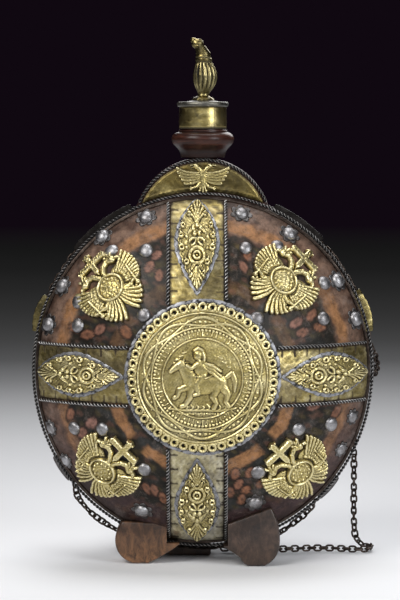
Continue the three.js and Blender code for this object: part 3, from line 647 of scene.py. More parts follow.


# Metals: dark, middle and rubbed tones, grime, roughness; the rubbed tone is also a painted highlight on
# raised edges, and the grime also painted shade in hollows
BRASS = metal(
    "embossed_brass", (0.30, 0.232, 0.074), (0.56, 0.455, 0.165), (0.90, 0.80, 0.46),
    (0.03, 0.022, 0.009), 0.34, pits=0.3, blotch=0.4, tarnish=(0.27, 0.215, 0.09), veil=0.55, grit=0.4)
BRASS_SHEET = metal(
    "brass_sheet", (0.12, 0.088, 0.03), (0.36, 0.285, 0.1), (0.74, 0.65, 0.38),
    (0.035, 0.023, 0.012), 0.36, patch=60, pits=0.25, blotch=0.75, tarnish=(0.24, 0.20, 0.125), veil=0.7,
    beaten=0.55, grit=0.4)
CREST_BRASS = metal(
    "crest_brass", (0.10, 0.072, 0.022), (0.27, 0.205, 0.065), (0.58, 0.48, 0.2),
    (0.025, 0.017, 0.009), 0.34, patch=50, blotch=0.7, tarnish=(0.10, 0.085, 0.05), veil=0.7, beaten=0.4)
CAP_BRASS = metal(
    "cap_brass", (0.30, 0.225, 0.075), (0.58, 0.465, 0.17), (0.82, 0.71, 0.36),
    (0.05, 0.04, 0.02), 0.3, patch=70, blotch=0.45, tarnish=(0.27, 0.235, 0.14), veil=0.75)
LID_BRASS = metal(
    "lid_brass", (0.09, 0.083, 0.066), (0.19, 0.18, 0.145), (0.44, 0.42, 0.36),
    (0.022, 0.019, 0.015), 0.42, patch=90, blotch=0.7, tarnish=(0.10, 0.10, 0.095), veil=0.8, grit=0.4)
DARK_BRASS = metal(
    "patinated_brass", (0.10, 0.078, 0.028), (0.27, 0.215, 0.08), (0.70, 0.61, 0.31),
    (0.009, 0.007, 0.004), 0.34, patch=90, blotch=0.7, tarnish=(0.06, 0.052, 0.032), veil=0.75, grit=0.4)
# A lighter copy of the brass sheet for the bottom arm: a painted reflection of the bright floor
SHEET_PAINTED_FLOOR_REFLECTION = metal(
    "sheet_painted_floor_reflection", (0.20, 0.165, 0.085), (0.50, 0.44, 0.25), (0.86, 0.81, 0.62),
    (0.035, 0.024, 0.014), 0.36, patch=60, pits=0.25, blotch=0.65, tarnish=(0.42, 0.40, 0.36), veil=0.7,
    beaten=0.55, grit=0.35)
TIN = metal(
    "tin", (0.19, 0.193, 0.21), (0.37, 0.375, 0.40), (0.68, 0.685, 0.72),
    (0.022, 0.019, 0.018), 0.44, patch=120, blotch=0.8)
STEEL = metal(
    "nail_steel", (0.17, 0.165, 0.168), (0.32, 0.315, 0.322), (0.58, 0.58, 0.60),
    (0.03, 0.025, 0.022), 0.44, patch=130, blotch=0.5, tarnish=(0.12, 0.10, 0.095), veil=0.55)
WIRE = metal(
    "twisted_wire", (0.06, 0.056, 0.054), (0.20, 0.19, 0.186), (0.56, 0.55, 0.54),
    (0.004, 0.0035, 0.0035), 0.38, patch=110)
RIM_WIRE = metal(
    "rim_wire", (0.022, 0.020, 0.019), (0.075, 0.071, 0.069), (0.30, 0.29, 0.285),
    (0.004, 0.0035, 0.0035), 0.42, patch=60, blotch=0.6)
WASHER = metal(
    "washer_steel", (0.042, 0.037, 0.035), (0.095, 0.088, 0.085), (0.24, 0.235, 0.24),
    (0.014, 0.011, 0.01), 0.45, patch=120, blotch=0.5)
BLACK_IRON = metal(
    "black_iron", (0.008, 0.007, 0.0065), (0.018, 0.016, 0.015), (0.05, 0.045, 0.042),
    (0.008, 0.006, 0.005), 0.68, patch=140)
IRON = metal(
    "dark_iron", (0.024, 0.017, 0.014), (0.050, 0.037, 0.030), (0.13, 0.105, 0.09),
    (0.022, 0.011, 0.006), 0.46, patch=140, blotch=0.5)

# Woods: dark, middle and light tones, roughness
PAINTED = wood(
    "painted_wood", (0.010, 0.008, 0.007), (0.075, 0.040, 0.026), (0.20, 0.11, 0.065), 0.46,
    grain=(1, 1, 5), wear=0.35, worn=(0.15, 0.085, 0.057), coat=0.06, painted=True, specular=0.14)
DARK_WOOD = wood(
    "dark_turned_wood", (0.008, 0.004, 0.0035), (0.036, 0.013, 0.009), (0.085, 0.029, 0.018), 0.33,
    grain=(1, 1, 6), wear=0.4, worn=(0.11, 0.034, 0.02), coat=0.1, specular=0.24)
BACK_WOOD = wood(
    "turned_back_wood", (0.03, 0.016, 0.010), (0.10, 0.048, 0.027), (0.19, 0.095, 0.05), 0.46,
    grain=(1, 1, 7), wear=0.35, worn=(0.22, 0.11, 0.05), coat=0.2)
LEFT_FOOT_WOOD = wood(
    "worn_foot_wood", (0.014, 0.008, 0.005), (0.052, 0.025, 0.013), (0.14, 0.066, 0.031), 0.4,
    grain=(2.5, 1.5, 1), wear=0.5, worn=(0.25, 0.12, 0.053), coat=0.3, sole=0.9)
RIGHT_FOOT_WOOD = wood(
    "dark_foot_wood", (0.006, 0.004, 0.003), (0.024, 0.0145, 0.0105), (0.074, 0.043, 0.03), 0.4,
    grain=(2.5, 1.5, 1), wear=0.5, worn=(0.10, 0.058, 0.039), coat=0.3, sole=0.4)
PLUG_WOOD = wood(
    "plug_wood", (0.12, 0.06, 0.03), (0.30, 0.17, 0.08), (0.44, 0.28, 0.14), 0.65, grain=(1, 1, 6))


# Camera at the photograph's angle

CAMERA_ELEVATION = math.radians(4.0)
CAMERA_AZIMUTH = math.radians(0.15)
CAMERA_DISTANCE = 1900.0
CAMERA_AIM = np.array([-2.0, MID_Y - HALF_RIM, 192.6])
CAMERA_LENS = 156.0

camera_data = bpy.data.cameras.new("camera")
camera_data.sensor_width = 36
camera_data.lens = CAMERA_LENS
camera = add_object("camera", camera_data)
camera_back = Vector((
    math.sin(CAMERA_AZIMUTH) * math.cos(CAMERA_ELEVATION),
    -math.cos(CAMERA_AZIMUTH) * math.cos(CAMERA_ELEVATION),
    math.sin(CAMERA_ELEVATION),
))
camera.location = Vector(CAMERA_AIM * MM) + camera_back * CAMERA_DISTANCE * MM
camera.rotation_euler = (-camera_back).to_track_quat("-Z", "Y").to_euler()
bpy.context.scene.camera = camera
bpy.context.scene.view_settings.view_transform = "Standard"


# Chain: open iron links along three routes

CHAIN_RADIUS = 2.6
CHAIN_STEP = 0.5
LINK_WIRE = 0.75
LINK_LENGTH = 7.4
LINK_WIDTH = 5.7
LINK_PITCH = LINK_LENGTH - 4 * LINK_WIRE
LINK_ROLL = math.radians(22)
LINK_STEPS = 20
LINK_SIDES = 8
# The bottom chain's hanging stretch, as x and z
HANGING = (
    (-93.4, 46.4), (-88.4, 38.8), (-82.4, 32.4), (-75.4, 27), (-67.8, 22.2), (-59, 17.6), (-49, 13.6),
    (-38, 10.6), (-26, 8.8), (-13, 7.8), (0, 7.5), (13, 7.8), (26, 8.8), (38, 10.8), (49, 14.2), (59, 19.2),
    (67.6, 25.2), (75.2, 31.6), (81.6, 38.2),
)
# The tail's fall from the rim, and then its lie on the table, as x and y at one height
FALLING = (
    (127.2, 4, 150), (130, 14, 142), (128.4, 26, 134), (121.5, 36, 125), (116, 39.5, 112), (114.6, 40, 96),
    (114.4, 40, 76), (114.4, 40, 56), (114.4, 40, 36), (114.6, 40, 20), (116, 39.5, 8.5), (120.5, 38, 3.2),
)
LYING = (
    (125.5, 33), (126.5, 25), (123, 18.5), (115, 16.5), (105, 19), (94, 21.5), (82, 21.5), (69, 19),
    (56, 17), (43, 18), (30, 20), (20, 20), (13, 20),
)
LYING_HEIGHT = 2.9


def rim_point(degrees):
    x, z = polar(RIM_RADIUS + FIT + CHAIN_RADIUS, math.radians(degrees))
    return (x, 0, RIM_Z + RIM_OVAL * z)


def link_part(centre, tangent, side, upright):
    """One round-ended link of bent wire; its flat lies in the plane of tangent and side."""
    bend = LINK_WIDTH / 2 - LINK_WIRE
    straight = LINK_LENGTH / 2 - LINK_WIRE - bend
    turn = full_turn(LINK_STEPS)
    along = bend * np.cos(turn) + straight * np.sign(np.cos(turn))
    out = bend * np.sin(turn)
    line = centre + along[:, None] * tangent + out[:, None] * side
    closed_line = np.vstack([line[-1:], line, line[:1]])
    run = unit(closed_line[2:] - closed_line[:-2])
    second = np.cross(run, upright)
    return tube_part(line, np.broadcast_to(upright, line.shape), second, LINK_WIRE, LINK_SIDES, closed=True)


def chain(name, route):
    line = catmull(np.array(route, float) + np.array([0, MID_Y, 0]), CHAIN_STEP)
    line, length = resample(line, CHAIN_STEP)
    tangent, first, second = frames(line, (0.12, 1, 0.2))
    parts = []
    count = round((length - LINK_LENGTH) / LINK_PITCH) + 1
    for k, reach in enumerate(np.linspace(LINK_LENGTH / 2, length - LINK_LENGTH / 2, count)):
        at = round(reach / length * (len(line) - 1))
        roll = LINK_ROLL + (math.pi / 2) * (k % 2) + 0.35 * math.sin(2.1 * k)
        side = math.cos(roll) * first[at] + math.sin(roll) * second[at]
        parts.append(link_part(line[at], tangent[at], side, np.cross(tangent[at], side)))
    points, faces = join_parts(parts)
    obj = piece(name + "_links", points, faces, IRON, "iron", nodes=[name])


chain("chain_rim_left", [rim_point(degrees) for degrees in range(118, 161, 3)])
chain("chain_bottom", [
    *map(rim_point, (214, 217, 220)), *((x, 0, z) for x, z in HANGING), *map(rim_point, (314, 317, 320)),
])
chain("chain_tail", [
    *map(rim_point, (62, 57, 52, 47, 42, 37, 32, 27, 22, 17, 12, 8)), *FALLING,
    *((x, y, LYING_HEIGHT) for x, y in LYING),
])


# Wooden body with its painted front

BACK_REBATE = 68.0
DISC_THICKNESS = 5.0
# Turned grooves of the back disc: radius, depth, width
DISC_GROOVES = ((58, 0.9, 0.7), (54.6, 0.9, 0.6), (20, 0.7, 0.7))
BODY_SIDES = 360
DISC_SIDES = 160
# Radius at which the profile of a body or disc stops short of its axis
POLE = 0.4

ORANGE = np.array([0.30, 0.147, 0.064])
RED_BROWN = np.array([0.070, 0.037, 0.026])
GREEN_BLACK = np.array([0.0085, 0.0105, 0.0085])
BLUE_GREY = np.array([0.026, 0.030, 0.030])
OLIVE = np.array([0.050, 0.040, 0.016])
PLUM_BROWN = np.array([0.050, 0.029, 0.030])
ROSE_GREY_WEAR_AND_SHEEN = np.array([0.165, 0.103, 0.074])
PETAL = np.array([0.235, 0.102, 0.054])
ROSE = np.array([0.29, 0.15, 0.12])
DARK_OUTLINE_AND_RIM_SHADOW = np.array([0.016, 0.009, 0.007])
# Where the dark fields fade, where the painted ring starts and ends, and how far out the strokes lie
FIELD_FADE = (97, 101.5)
RING_START = (99, 101.5)
RING_END = (106.5, 110)
STROKE_RADIUS = 65.0
# Painted berries, petals and leaves: x, z, heading, half length, half width, share of rose
PAINTED_OVALS = (
    (23, -71, 80, 4.6, 3.4, 0.1), (34, -70, 60, 4.8, 3.4, 0.2), (42, -79, 40, 4.6, 3.4, 0),
    (26, -79, 70, 4.6, 3.2, 0.2), (31, -84, 60, 4.4, 3.2, 0), (28, -91, 75, 4.6, 3.2, 0.1),
    (20, -85, 85, 4.4, 3.2, 0.2), (80, -22, 20, 5.5, 3.6, 0.6), (97, -28, 60, 5, 3, 0.2),
    (-80, -35, 30, 5, 4, 0.9), (-87, -43, 50, 4.6, 3.6, 0.6), (-96, -30, 80, 5, 3, 0.2),
    (-40, -83, 120, 5.5, 3, 0.2), (-35, -84, 100, 5, 2.8, 0.3), (-29, -90, 110, 5, 2.8, 0.1),
    (-38, 78, 60, 5, 3, 0.5), (-31, 72, 80, 4.6, 3, 0.3), (-33, 86, 40, 4.6, 2.8, 0.6),
    (-83, 29, 10, 5.4, 3.4, 0.2), (-74, 33, 40, 5, 3.2, 0.5), (-55, 32, 120, 5.5, 4, 0),
    (-92, 33, -20, 5, 3, 0.3), (67, 38, 30, 5.4, 3.4, 0.6), (78, 43, 50, 5.2, 3.2, 0.2),
    (72, 31, 10, 5.2, 3, 0.4), (32, 87, 100, 5.2, 3, 0.1), (40, 82, 60, 5, 3, 0.2),
    (29, 78, 120, 4.8, 2.8, 0.4), (84, 34, -10, 5, 2.8, 0.1),
)


def oval_mask(x, z, centre_x, centre_z, turn, half_length, half_width):
    """Distance from an oval's middle, as a share of its size."""
    cos, sin = math.cos(turn), math.sin(turn)
    along = ((x - centre_x) * cos + (z - centre_z) * sin) / half_length
    side = (-(x - centre_x) * sin + (z - centre_z) * cos) / half_width
    return np.hypot(along, side)


def painted_front(x, z):
    """Painted colours over the front view: a ring by the rim, dark fields, strokes, petals and berries, a
    painted shadow along the rim's edge, and a top made lighter by wear and a painted sheen.
    """
    def lay(colour, share, over):
        return colour + share[..., None] * (over - colour)

    def patches(low, high, scale, seed):
        return smooth_step(low, high, waves(x, z, scale, seed))

    wobble = 1.8 * waves(x, z, 46, 1) + 1.1 * waves(x, z, 15, 3)
    radius = np.hypot(x, z / RIM_OVAL) + wobble
    turn = np.arctan2(z / RIM_OVAL, x)
    drift = waves(x, z, 50, 9)
    upper = smooth_step(-35, 45, z + 12 * drift)
    # Lighter rose-grey towards the top, darker plum-brown towards the bottom: partly worn paint, partly
    # painted sheen
    colour = lay(PLUM_BROWN, smooth_step(-95, 10, z + 14 * drift), ROSE_GREY_WEAR_AND_SHEEN)
    colour = lay(colour, 0.85 * patches(0.0, 0.5, 27, 12), RED_BROWN)
    field = lay(GREEN_BLACK, patches(0.0, 0.6, 33, 7), BLUE_GREY)
    field = lay(field, patches(0.05, 0.55, 24, 17), OLIVE)
    field = lay(field, patches(0.15, 0.6, 19, 23), RED_BROWN)
    colour = lay(colour, 0.96 * (1 - smooth_step(*FIELD_FADE, radius)), field)
    by_arms = np.maximum(smooth_step(80, 45, np.abs(z)), smooth_step(80, 50, np.abs(x)) * (z > 0))
    ring = smooth_step(*RING_START, radius) * (1 - smooth_step(*RING_END, radius))
    kept = np.clip(1.2 * by_arms - 0.15 + 0.5 * waves(x, z, 22, 5), 0, 1)
    colour = lay(colour, 0.9 * ring * kept * (0.6 + 0.4 * upper), ORANGE)
    quarter = np.abs((turn * 2 / np.pi) % 1.0 - 0.5)
    strokes = 1 - smooth_step(3.4, 5.2, np.abs(radius - STROKE_RADIUS))
    strokes = strokes * (1 - smooth_step(0.14, 0.18, np.abs(quarter - 0.22)))
    colour = lay(colour, (0.92 - 0.7 * upper) * strokes, ORANGE)
    # Painted shadow of the rim band and wire along the face's edge
    colour = lay(colour, 0.75 * smooth_step(RIM_RADIUS - 8, RIM_RADIUS - 1, radius), DARK_OUTLINE_AND_RIM_SHADOW)
    for centre_x, centre_z, heading, length, width, rosy in PAINTED_OVALS:
        near = oval_mask(x + 0.4 * wobble, z, centre_x, centre_z, math.radians(heading), length, width)
        colour = lay(colour, 0.85 * (1 - smooth_step(1.1, 1.4, near)), DARK_OUTLINE_AND_RIM_SHADOW)
        colour = lay(colour, 0.9 * (1 - smooth_step(0.75, 1.0, near)), PETAL + rosy * (ROSE - PETAL))
        colour = lay(colour, 0.6 * (1 - smooth_step(0.15, 0.45, near)), RED_BROWN)
    return colour


def body_profile():
    """Front middle to the rim, over the rim and back to the rebate, as (radius, depth) pairs."""
    rebate = BACK_REBATE + 0.2
    front = [(r, -dome_depth(r)) for r in np.linspace(POLE, RIM_RADIUS, 130)]
    side = [(RIM_RADIUS, depth) for depth in np.linspace(-HALF_RIM + 3, HALF_RIM - 3, 16)]
    back = []
    for r in np.linspace(RIM_RADIUS, rebate, 60):
        ripple = 0.10 * math.sin(r * 1.9) * smooth_step(BACK_REBATE + 2, BACK_REBATE + 8, r)
        back.append((r, dome_depth(r) + float(ripple)))
    ledge = back[-1][1] - DISC_THICKNESS
    return front + side + back + [(rebate, ledge), (30, ledge), (POLE, ledge)]


def wooden_body():
    points, faces = turned(body_profile(), BODY_SIDES, "face")
    x, y, z = points[:, 0], points[:, 1], points[:, 2] - RIM_Z
    radius = np.hypot(x, z / RIM_OVAL)
    front = y < MID_Y
    bare = RED_BROWN * 0.8 + 0.02 * waves(x, y, 40, 2, z)[:, None]
    at_front = (smooth_step(HALF_RIM - 6, HALF_RIM, MID_Y - y) * front)[:, None]
    colour = np.clip(bare + at_front * (painted_front(x, z) - bare), 0.004, 1)
    hollow = 0.6 * (~front) * smooth_step(1.5, 0.2, np.abs(radius - BACK_REBATE))
    piece("painted_body", points, faces, PAINTED, "painted_wood", nodes=["body_shell"], hollow=hollow,
          colour=colour)


def back_disc():
    edge = BACK_REBATE - FIT
    profile = [(POLE, dome_depth(POLE))]
    for r in np.linspace(1, edge - 1, 70):
        groove = sum(depth * math.exp(-((r - ring) / width) ** 2) for ring, depth, width in DISC_GROOVES)
        profile.append((r, dome_depth(r) - groove - 0.1 * math.sin(1.9 * r)))
    face, back = dome_depth(edge), dome_depth(edge) - DISC_THICKNESS
    profile += [(edge - 0.3, face - 0.15), (edge, face - 0.7), (edge, back), (POLE, back)]
    points, faces = turned(profile, DISC_SIDES, "face", flip=True)
    radius = np.repeat([r for r, _ in profile], DISC_SIDES)
    hollow = smooth_step(edge - 0.9, edge, radius)
    for ring, _, _ in DISC_GROOVES:
        hollow = np.maximum(hollow, np.exp(-((radius - ring) / 0.8) ** 2))
    piece("turned_back_disc", points, faces, BACK_WOOD, "painted_wood", nodes=["back_disc"], hollow=hollow)


wooden_body()
back_disc()


# Rim bands and twisted wires

ROPE_RADIUS = 1.3
ROPE_PITCH = 5.6
# Distance of a twisted wire's middle line from what it lies against
ROPE_MIDDLE = 1.1
BAND_WIDTH = 6.0
BAND_LIP = 1.0
BAND_SHEET = 0.9
BAND_SIDES = 240


def wire_piece(node, line, hint, girth, material, closed=False):
    """A twisted wire along a line; girth is its share of the usual radius."""
    points, faces, hollow = twisted_wire(line, hint, girth * ROPE_RADIUS, ROPE_PITCH, closed)
    piece(node + "_twist", points, faces, material, "iron", nodes=[node], hollow=hollow)


def rim_band(node, side):
    """A thin iron strip round the edge of the rim, its lip turned a little over the face."""
    inner, outer = RIM_RADIUS + FIT, RIM_RADIUS + FIT + BAND_SHEET
    inset = RIM_RADIUS - BAND_LIP
    lip = dome_depth(inset) + FIT
    top, foot = HALF_RIM + FIT, HALF_RIM - BAND_WIDTH
    section = [
        (inner, foot), (outer - 0.3, foot), (outer, foot + 0.3), (outer, top - 0.4),
        (outer - 0.2, top + 0.3), (outer - 0.8, top + 0.6), (inset + 0.2, lip + 0.5), (inset, lip + 0.3),
        (inset, lip), (inner, top),
    ]
    profile = [(radius, side * depth) for radius, depth in section]
    points, faces = turned(profile, BAND_SIDES, "face", ring=True, flip=side > 0)
    turn = np.tile(full_turn(BAND_SIDES), len(profile))
    points[:, 1] += 0.12 * np.sin(23 * turn) * np.sin(7 * turn + 1)
    piece(node + "_strip", points, faces, IRON, "iron", nodes=[node])


def rim_wire(node, side):
    radius = RIM_RADIUS + FIT + BAND_SHEET + FIT + ROPE_MIDDLE
    turn = np.linspace(0, 2 * np.pi, 1441)
    depth = np.full_like(turn, MID_Y + side * (HALF_RIM - ROPE_MIDDLE))
    line = np.stack([radius * np.cos(turn), depth, RIM_Z + RIM_OVAL * radius * np.sin(turn)], axis=1)
    hint = np.stack([np.cos(turn), 0 * turn, np.sin(turn)], axis=1)
    wire_piece(node, line, hint, 0.95, RIM_WIRE, closed=True)


for rim_name, rim_side in (("front", -1), ("rear", 1)):
    rim_band("rim_band_" + rim_name, rim_side)
    rim_wire("rim_rope_" + rim_name, rim_side)


# Shoulder, neck and stopper

crest_low, crest_high = node_box("crest_block")
neck_low, neck_high = node_box("neck")
lid_low, lid_high = node_box("cap_lid")
sleeve_low, sleeve_high = node_box("cap_sleeve")
CREST_TOP = crest_high[2]
CREST_RADIUS = 51.0
CREST_Z = CREST_TOP - CREST_RADIUS
CREST_FRONT = crest_low[1]
PLATE_FRONT = node_box("crest_plate")[0][1]
NECK_BORE = 8.0
NECK_TENON = 10.5
NECK_SPIGOT = 15.6
NECK_RING_Z = CREST_TOP + 14
# Outside of the neck: radius, and height from the middle of its ring
NECK_CURVE = (
    (16.5, -11.6), (17.1, -9.6), (18.2, -7.6), (20.0, -5.6), (21.7, -3.8), (22.6, -1.8), (neck_high[0], 0),
    (22.6, 1.7), (21.6, 3.2), (20.0, 4.3), (18.4, 4.9),
)
NECK_SIDES = 96
PLUG_SIDES = 48
# Radius at which the profile of the lid or plug stops short of its axis
STOPPER_POLE = 0.3


def crest_outline():
    """A half-moon: an arc of the shoulder's circle above the rim, closed along the rim."""
    rim, count = RIM_RADIUS + FIT, 90
    turns = np.radians(np.linspace(-30, 210, 481))
    arc = np.stack([CREST_RADIUS * np.cos(turns), CREST_Z + CREST_RADIUS * np.sin(turns)], axis=1)
    arc = arc[np.hypot(arc[:, 0], (arc[:, 1] - RIM_Z) / RIM_OVAL) > rim]
    arc = arc[np.linspace(0, len(arc) - 1, count).round().astype(int)]
    low = np.linspace(arc[-1, 0], arc[0, 0], count // 2)[1:-1]
    base = np.stack([low, RIM_Z + RIM_OVAL * np.sqrt(rim ** 2 - low ** 2)], axis=1)
    return np.vstack([arc, base])


def slab(name, outline, front, back, bevel, material, node):
    """A front-view outline with thickness and rounded edges."""
    mesh = bpy.data.meshes.new(name)
    shape = bmesh.new()
    ring = [shape.verts.new((x * MM, front * MM, z * MM)) for x, z in outline]
    extruded = bmesh.ops.extrude_face_region(shape, geom=[shape.faces.new(ring)])
    moved = [item for item in extruded["geom"] if isinstance(item, bmesh.types.BMVert)]
    bmesh.ops.translate(shape, verts=moved, vec=(0, (back - front) * MM, 0))
    bmesh.ops.recalc_face_normals(shape, faces=shape.faces)
    sharp = [edge for edge in shape.edges if edge.calc_face_angle(0) > 0.6]
    bmesh.ops.bevel(shape, geom=sharp, offset=bevel * MM, segments=3, profile=0.5, affect="EDGES")
    shape.to_mesh(mesh)
    shape.free()
    mesh.shade_smooth()
    mesh.set_sharp_from_angle(angle=math.radians(35))
    return put(name, mesh, material, nodes=[node])


def crest_plate():
    radius = CREST_RADIUS - 3.0
    sheet = Relief((-radius - 1, CREST_Z - 20), (radius + 1, CREST_TOP), 0.7)
    reach = np.hypot(sheet.u, sheet.v - CREST_Z)
    rim = np.hypot(sheet.u, (sheet.v - RIM_Z) / RIM_OVAL)
    sheet.cut(np.maximum(reach - radius, RIM_RADIUS + 4 - rim))
    dents = 0.18 * sheet.waves(15, 6) + 0.1 * sheet.waves(6, 2)
    bead = 0.5 * np.exp(-((sheet.outline + 2.2) / 0.6) ** 2)
    sheet.height = 0.15 + np.clip(dents, -0.1, 0.3) + bead

    def lay(u, v, lift):
        return np.stack([u, PLATE_FRONT + 0.8 - lift, v], axis=-1)

    points, faces, hollow = sheet.solid(lay, 0.0, CREST_SHEET)
    # Darker along the plate's curved edge
    edge_darkening = smooth_step(1.8, 0.2, radius - np.hypot(points[:, 0], points[:, 2] - CREST_Z))
    piece("crest_plate_sheet", points, faces, CREST_BRASS, "brass_sheet", nodes=["crest_plate"],
          hollow=np.clip(0.4 * hollow + 0.5 * edge_darkening, 0, 1))


def crest_wire():
    radius = CREST_RADIUS - ROPE_MIDDLE
    turns = np.radians(np.linspace(158, 22, 240))
    depth = np.full_like(turns, CREST_FRONT - FIT - ROPE_MIDDLE)
    line = np.stack([radius * np.cos(turns), depth, CREST_Z + radius * np.sin(turns)], axis=1)
    wire_piece("crest_rope", line, (0, 1, 0), 0.95, RIM_WIRE)


def turned_neck():
    bottom, top = neck_low[2], neck_high[2]
    base, shoulder = CREST_TOP + FIT, NECK_RING_Z + 6.6
    curve = [(16.2, base + 0.4), *((radius, NECK_RING_Z + rise) for radius, rise in NECK_CURVE)]
    profile = [
        (NECK_BORE, bottom), (NECK_TENON, bottom), (NECK_TENON, base), (15.8, base), *catmull(curve, 0.5),
        (18.0, NECK_RING_Z + 5.1), (18.0, shoulder - 0.4), (17.6, shoulder), (NECK_SPIGOT, shoulder),
        (NECK_SPIGOT, top - 0.6), (NECK_SPIGOT - 0.6, top), (NECK_BORE + 0.5, top), (NECK_BORE, top - 0.5),
    ]
    points, faces = turned(profile, NECK_SIDES, "neck", ring=True)
    level = points[:, 2] - NECK_RING_Z
    # A dark groove line above the ring, and painted shade over the lower neck, which faces down
    hollow = np.exp(-((level - 5.0) / 0.5) ** 2) + 0.95 * smooth_step(-4, -9, level)
    piece("turned_neck", points, faces, DARK_WOOD, "dark_wood", nodes=["neck"], hollow=np.clip(hollow, 0, 1),
          sharp=30)


def cap_sleeve():
    outer, bottom, top = sleeve_high[0], sleeve_low[2], sleeve_high[2]
    inner = outer - 1.1
    profile = [(inner, bottom), (outer - 0.2, bottom), (outer, bottom + 0.3)]
    profile += [(outer + 0.05 * math.sin(h), h) for h in np.linspace(bottom + 1, top - 1, 12)]
    profile += [(outer, top - 0.2), (outer - 0.2, top), (inner, top)]
    points, faces = turned(profile, NECK_SIDES, "neck", ring=True)
    turn = np.arctan2(points[:, 1] - MID_Y, points[:, 0])
    seam = np.exp(-((turn + 1.05) / 0.02) ** 2)
    foot = smooth_step(bottom + 2.2, bottom + 0.8, points[:, 2])
    piece("cap_sleeve_sheet", points, faces, CAP_BRASS, "brass", body="stopper", nodes=["cap_sleeve"],
          hollow=np.clip(0.5 * seam + foot, 0, 1), sharp=30)


def cap_lid():
    edge, low, high = lid_high[0], lid_low[2], lid_high[2]
    profile = [(STOPPER_POLE, low), (edge - 1.6, low)]
    for turn in np.radians(np.linspace(-90, 90, 13)):
        profile.append((edge - 1.5 + 1.5 * math.cos(turn), low + 2.0 + 1.9 * math.sin(turn)))
    profile += [(edge - 2.6, low + 3.2), (edge - 4.5, low + 3.5), (12, low + 4.1), (9, high)]
    profile.append((STOPPER_POLE, high))
    points, faces = turned(profile, NECK_SIDES, "neck")
    radius = np.repeat([r for r, _ in profile], NECK_SIDES)
    piece("cap_lid_disc", points, faces, LID_BRASS, "brass", body="stopper", nodes=["cap_lid"],
          hollow=0.6 * np.exp(-((radius - edge + 2.6) / 0.7) ** 2), sharp=50)


# Finial: height, lean, half width and half depth of each section
FINIAL_STATIONS = (
    (0, 0, 8.4, 8.4), (0.8, 0, 8.2, 8.2), (1.8, 0, 7.0, 7.0), (3.2, 0.3, 4.5, 4.5), (4.8, 0.6, 4.2, 4.2),
    (7, 0.9, 5.4, 5.2), (12, 1.5, 8.1, 7.7), (18, 1.8, 9.1, 8.4), (24, 1.4, 7.7, 7.2), (28, 0.8, 5.9, 5.8),
    (29, 0.7, 6.1, 6.1), (30.2, 0.6, 6.2, 6.2), (31.2, 0.4, 5.5, 5.5), (32, 0.2, 5.7, 5.6),
    (33, 0.3, 5.4, 5.2), (35, 0.0, 5.3, 5.1), (38, -1.3, 4.5, 4.5), (40, -2.6, 4.3, 4.2),
)
FINIAL_SIDES = 112
FINIAL_FLUTES = 14
# Head, muzzle, nose, ears, eyes and collar: middle, half sizes, tilt
FINIAL_HEAD = (
    ((-3.8, 0, 41.3), (4.6, 4.0, 3.9), 0), ((-6.0, 0, 43.2), (3.4, 2.9, 2.5), 35),
    ((-7.2, 0, 44.2), (2.0, 2.0, 1.6), 35), ((-1.9, 1.9, 43.2), (1.5, 0.9, 1.9), -30),
    ((-1.9, -1.9, 43.2), (1.5, 0.9, 1.9), -30), ((-5.2, 2.4, 43.4), (0.75, 0.6, 0.75), 0),
    ((-5.2, -2.4, 43.4), (0.75, 0.6, 0.75), 0), ((-2.3, 0, 39.4), (4.6, 4.6, 1.0), 12),
)


def finial():
    """A fluted bulb on a turned mound, with a collar and a small animal's head leaning to the left."""
    base = node_box("finial")[0][2]
    stations = catmull([(lean, rise, wide) for rise, lean, wide, _ in FINIAL_STATIONS], 0.35)
    depths = np.interp(stations[:, 1], [s[0] for s in FINIAL_STATIONS], [s[3] for s in FINIAL_STATIONS])
    turn = full_turn(FINIAL_SIDES)
    flutes = np.abs(np.sin(FINIAL_FLUTES * turn / 2))
    rings, hollow = [], []
    for (lean, rise, wide), deep in zip(stations, depths):
        fluting = float(smooth_step(6, 10, rise) * (1 - smooth_step(26.4, 28.2, rise)))
        petals = float(smooth_step(3.0, 1.6, rise) * smooth_step(-0.1, 0.3, rise))
        lobes = 1 - 0.13 * fluting * (1 - flutes ** 0.7) - 0.05 * petals * np.abs(np.sin(6 * turn))
        across, back = lean + wide * lobes * np.cos(turn), MID_Y + deep * lobes * np.sin(turn)
        rings.append(np.stack([across, back, np.full(FINIAL_SIDES, base + rise)], axis=1))
        groove = fluting * (1.5 * np.exp(-(flutes / 0.5) ** 2) - 0.45)
        stain = np.exp(-((turn - 3.9) / 0.45) ** 2 - ((rise - 20) / 5) ** 2)
        collar = math.exp(-((rise - 28.1) / 0.45) ** 2) + math.exp(-((rise - 31.3) / 0.4) ** 2)
        hollow.append(np.clip(groove + stain + 0.8 * collar, -1, 1))
    points = np.vstack(rings)
    faces = capped(grid_faces(len(rings), FINIAL_SIDES), len(points), FINIAL_SIDES)
    piece("finial_bulb", points, faces, DARK_BRASS, "brass", body="stopper", nodes=["finial"],
          hollow=np.concatenate(hollow), sharp=50)
    blobs = []
    for (x, y, z), scale, tilt in FINIAL_HEAD:
        blobs.append(ellipsoid((x, MID_Y + y, base + z), scale, math.radians(tilt)))
    points, faces = join_parts(blobs)
    soften(piece("finial_head", points, faces, DARK_BRASS, "brass", body="stopper"), 0.28, 4)


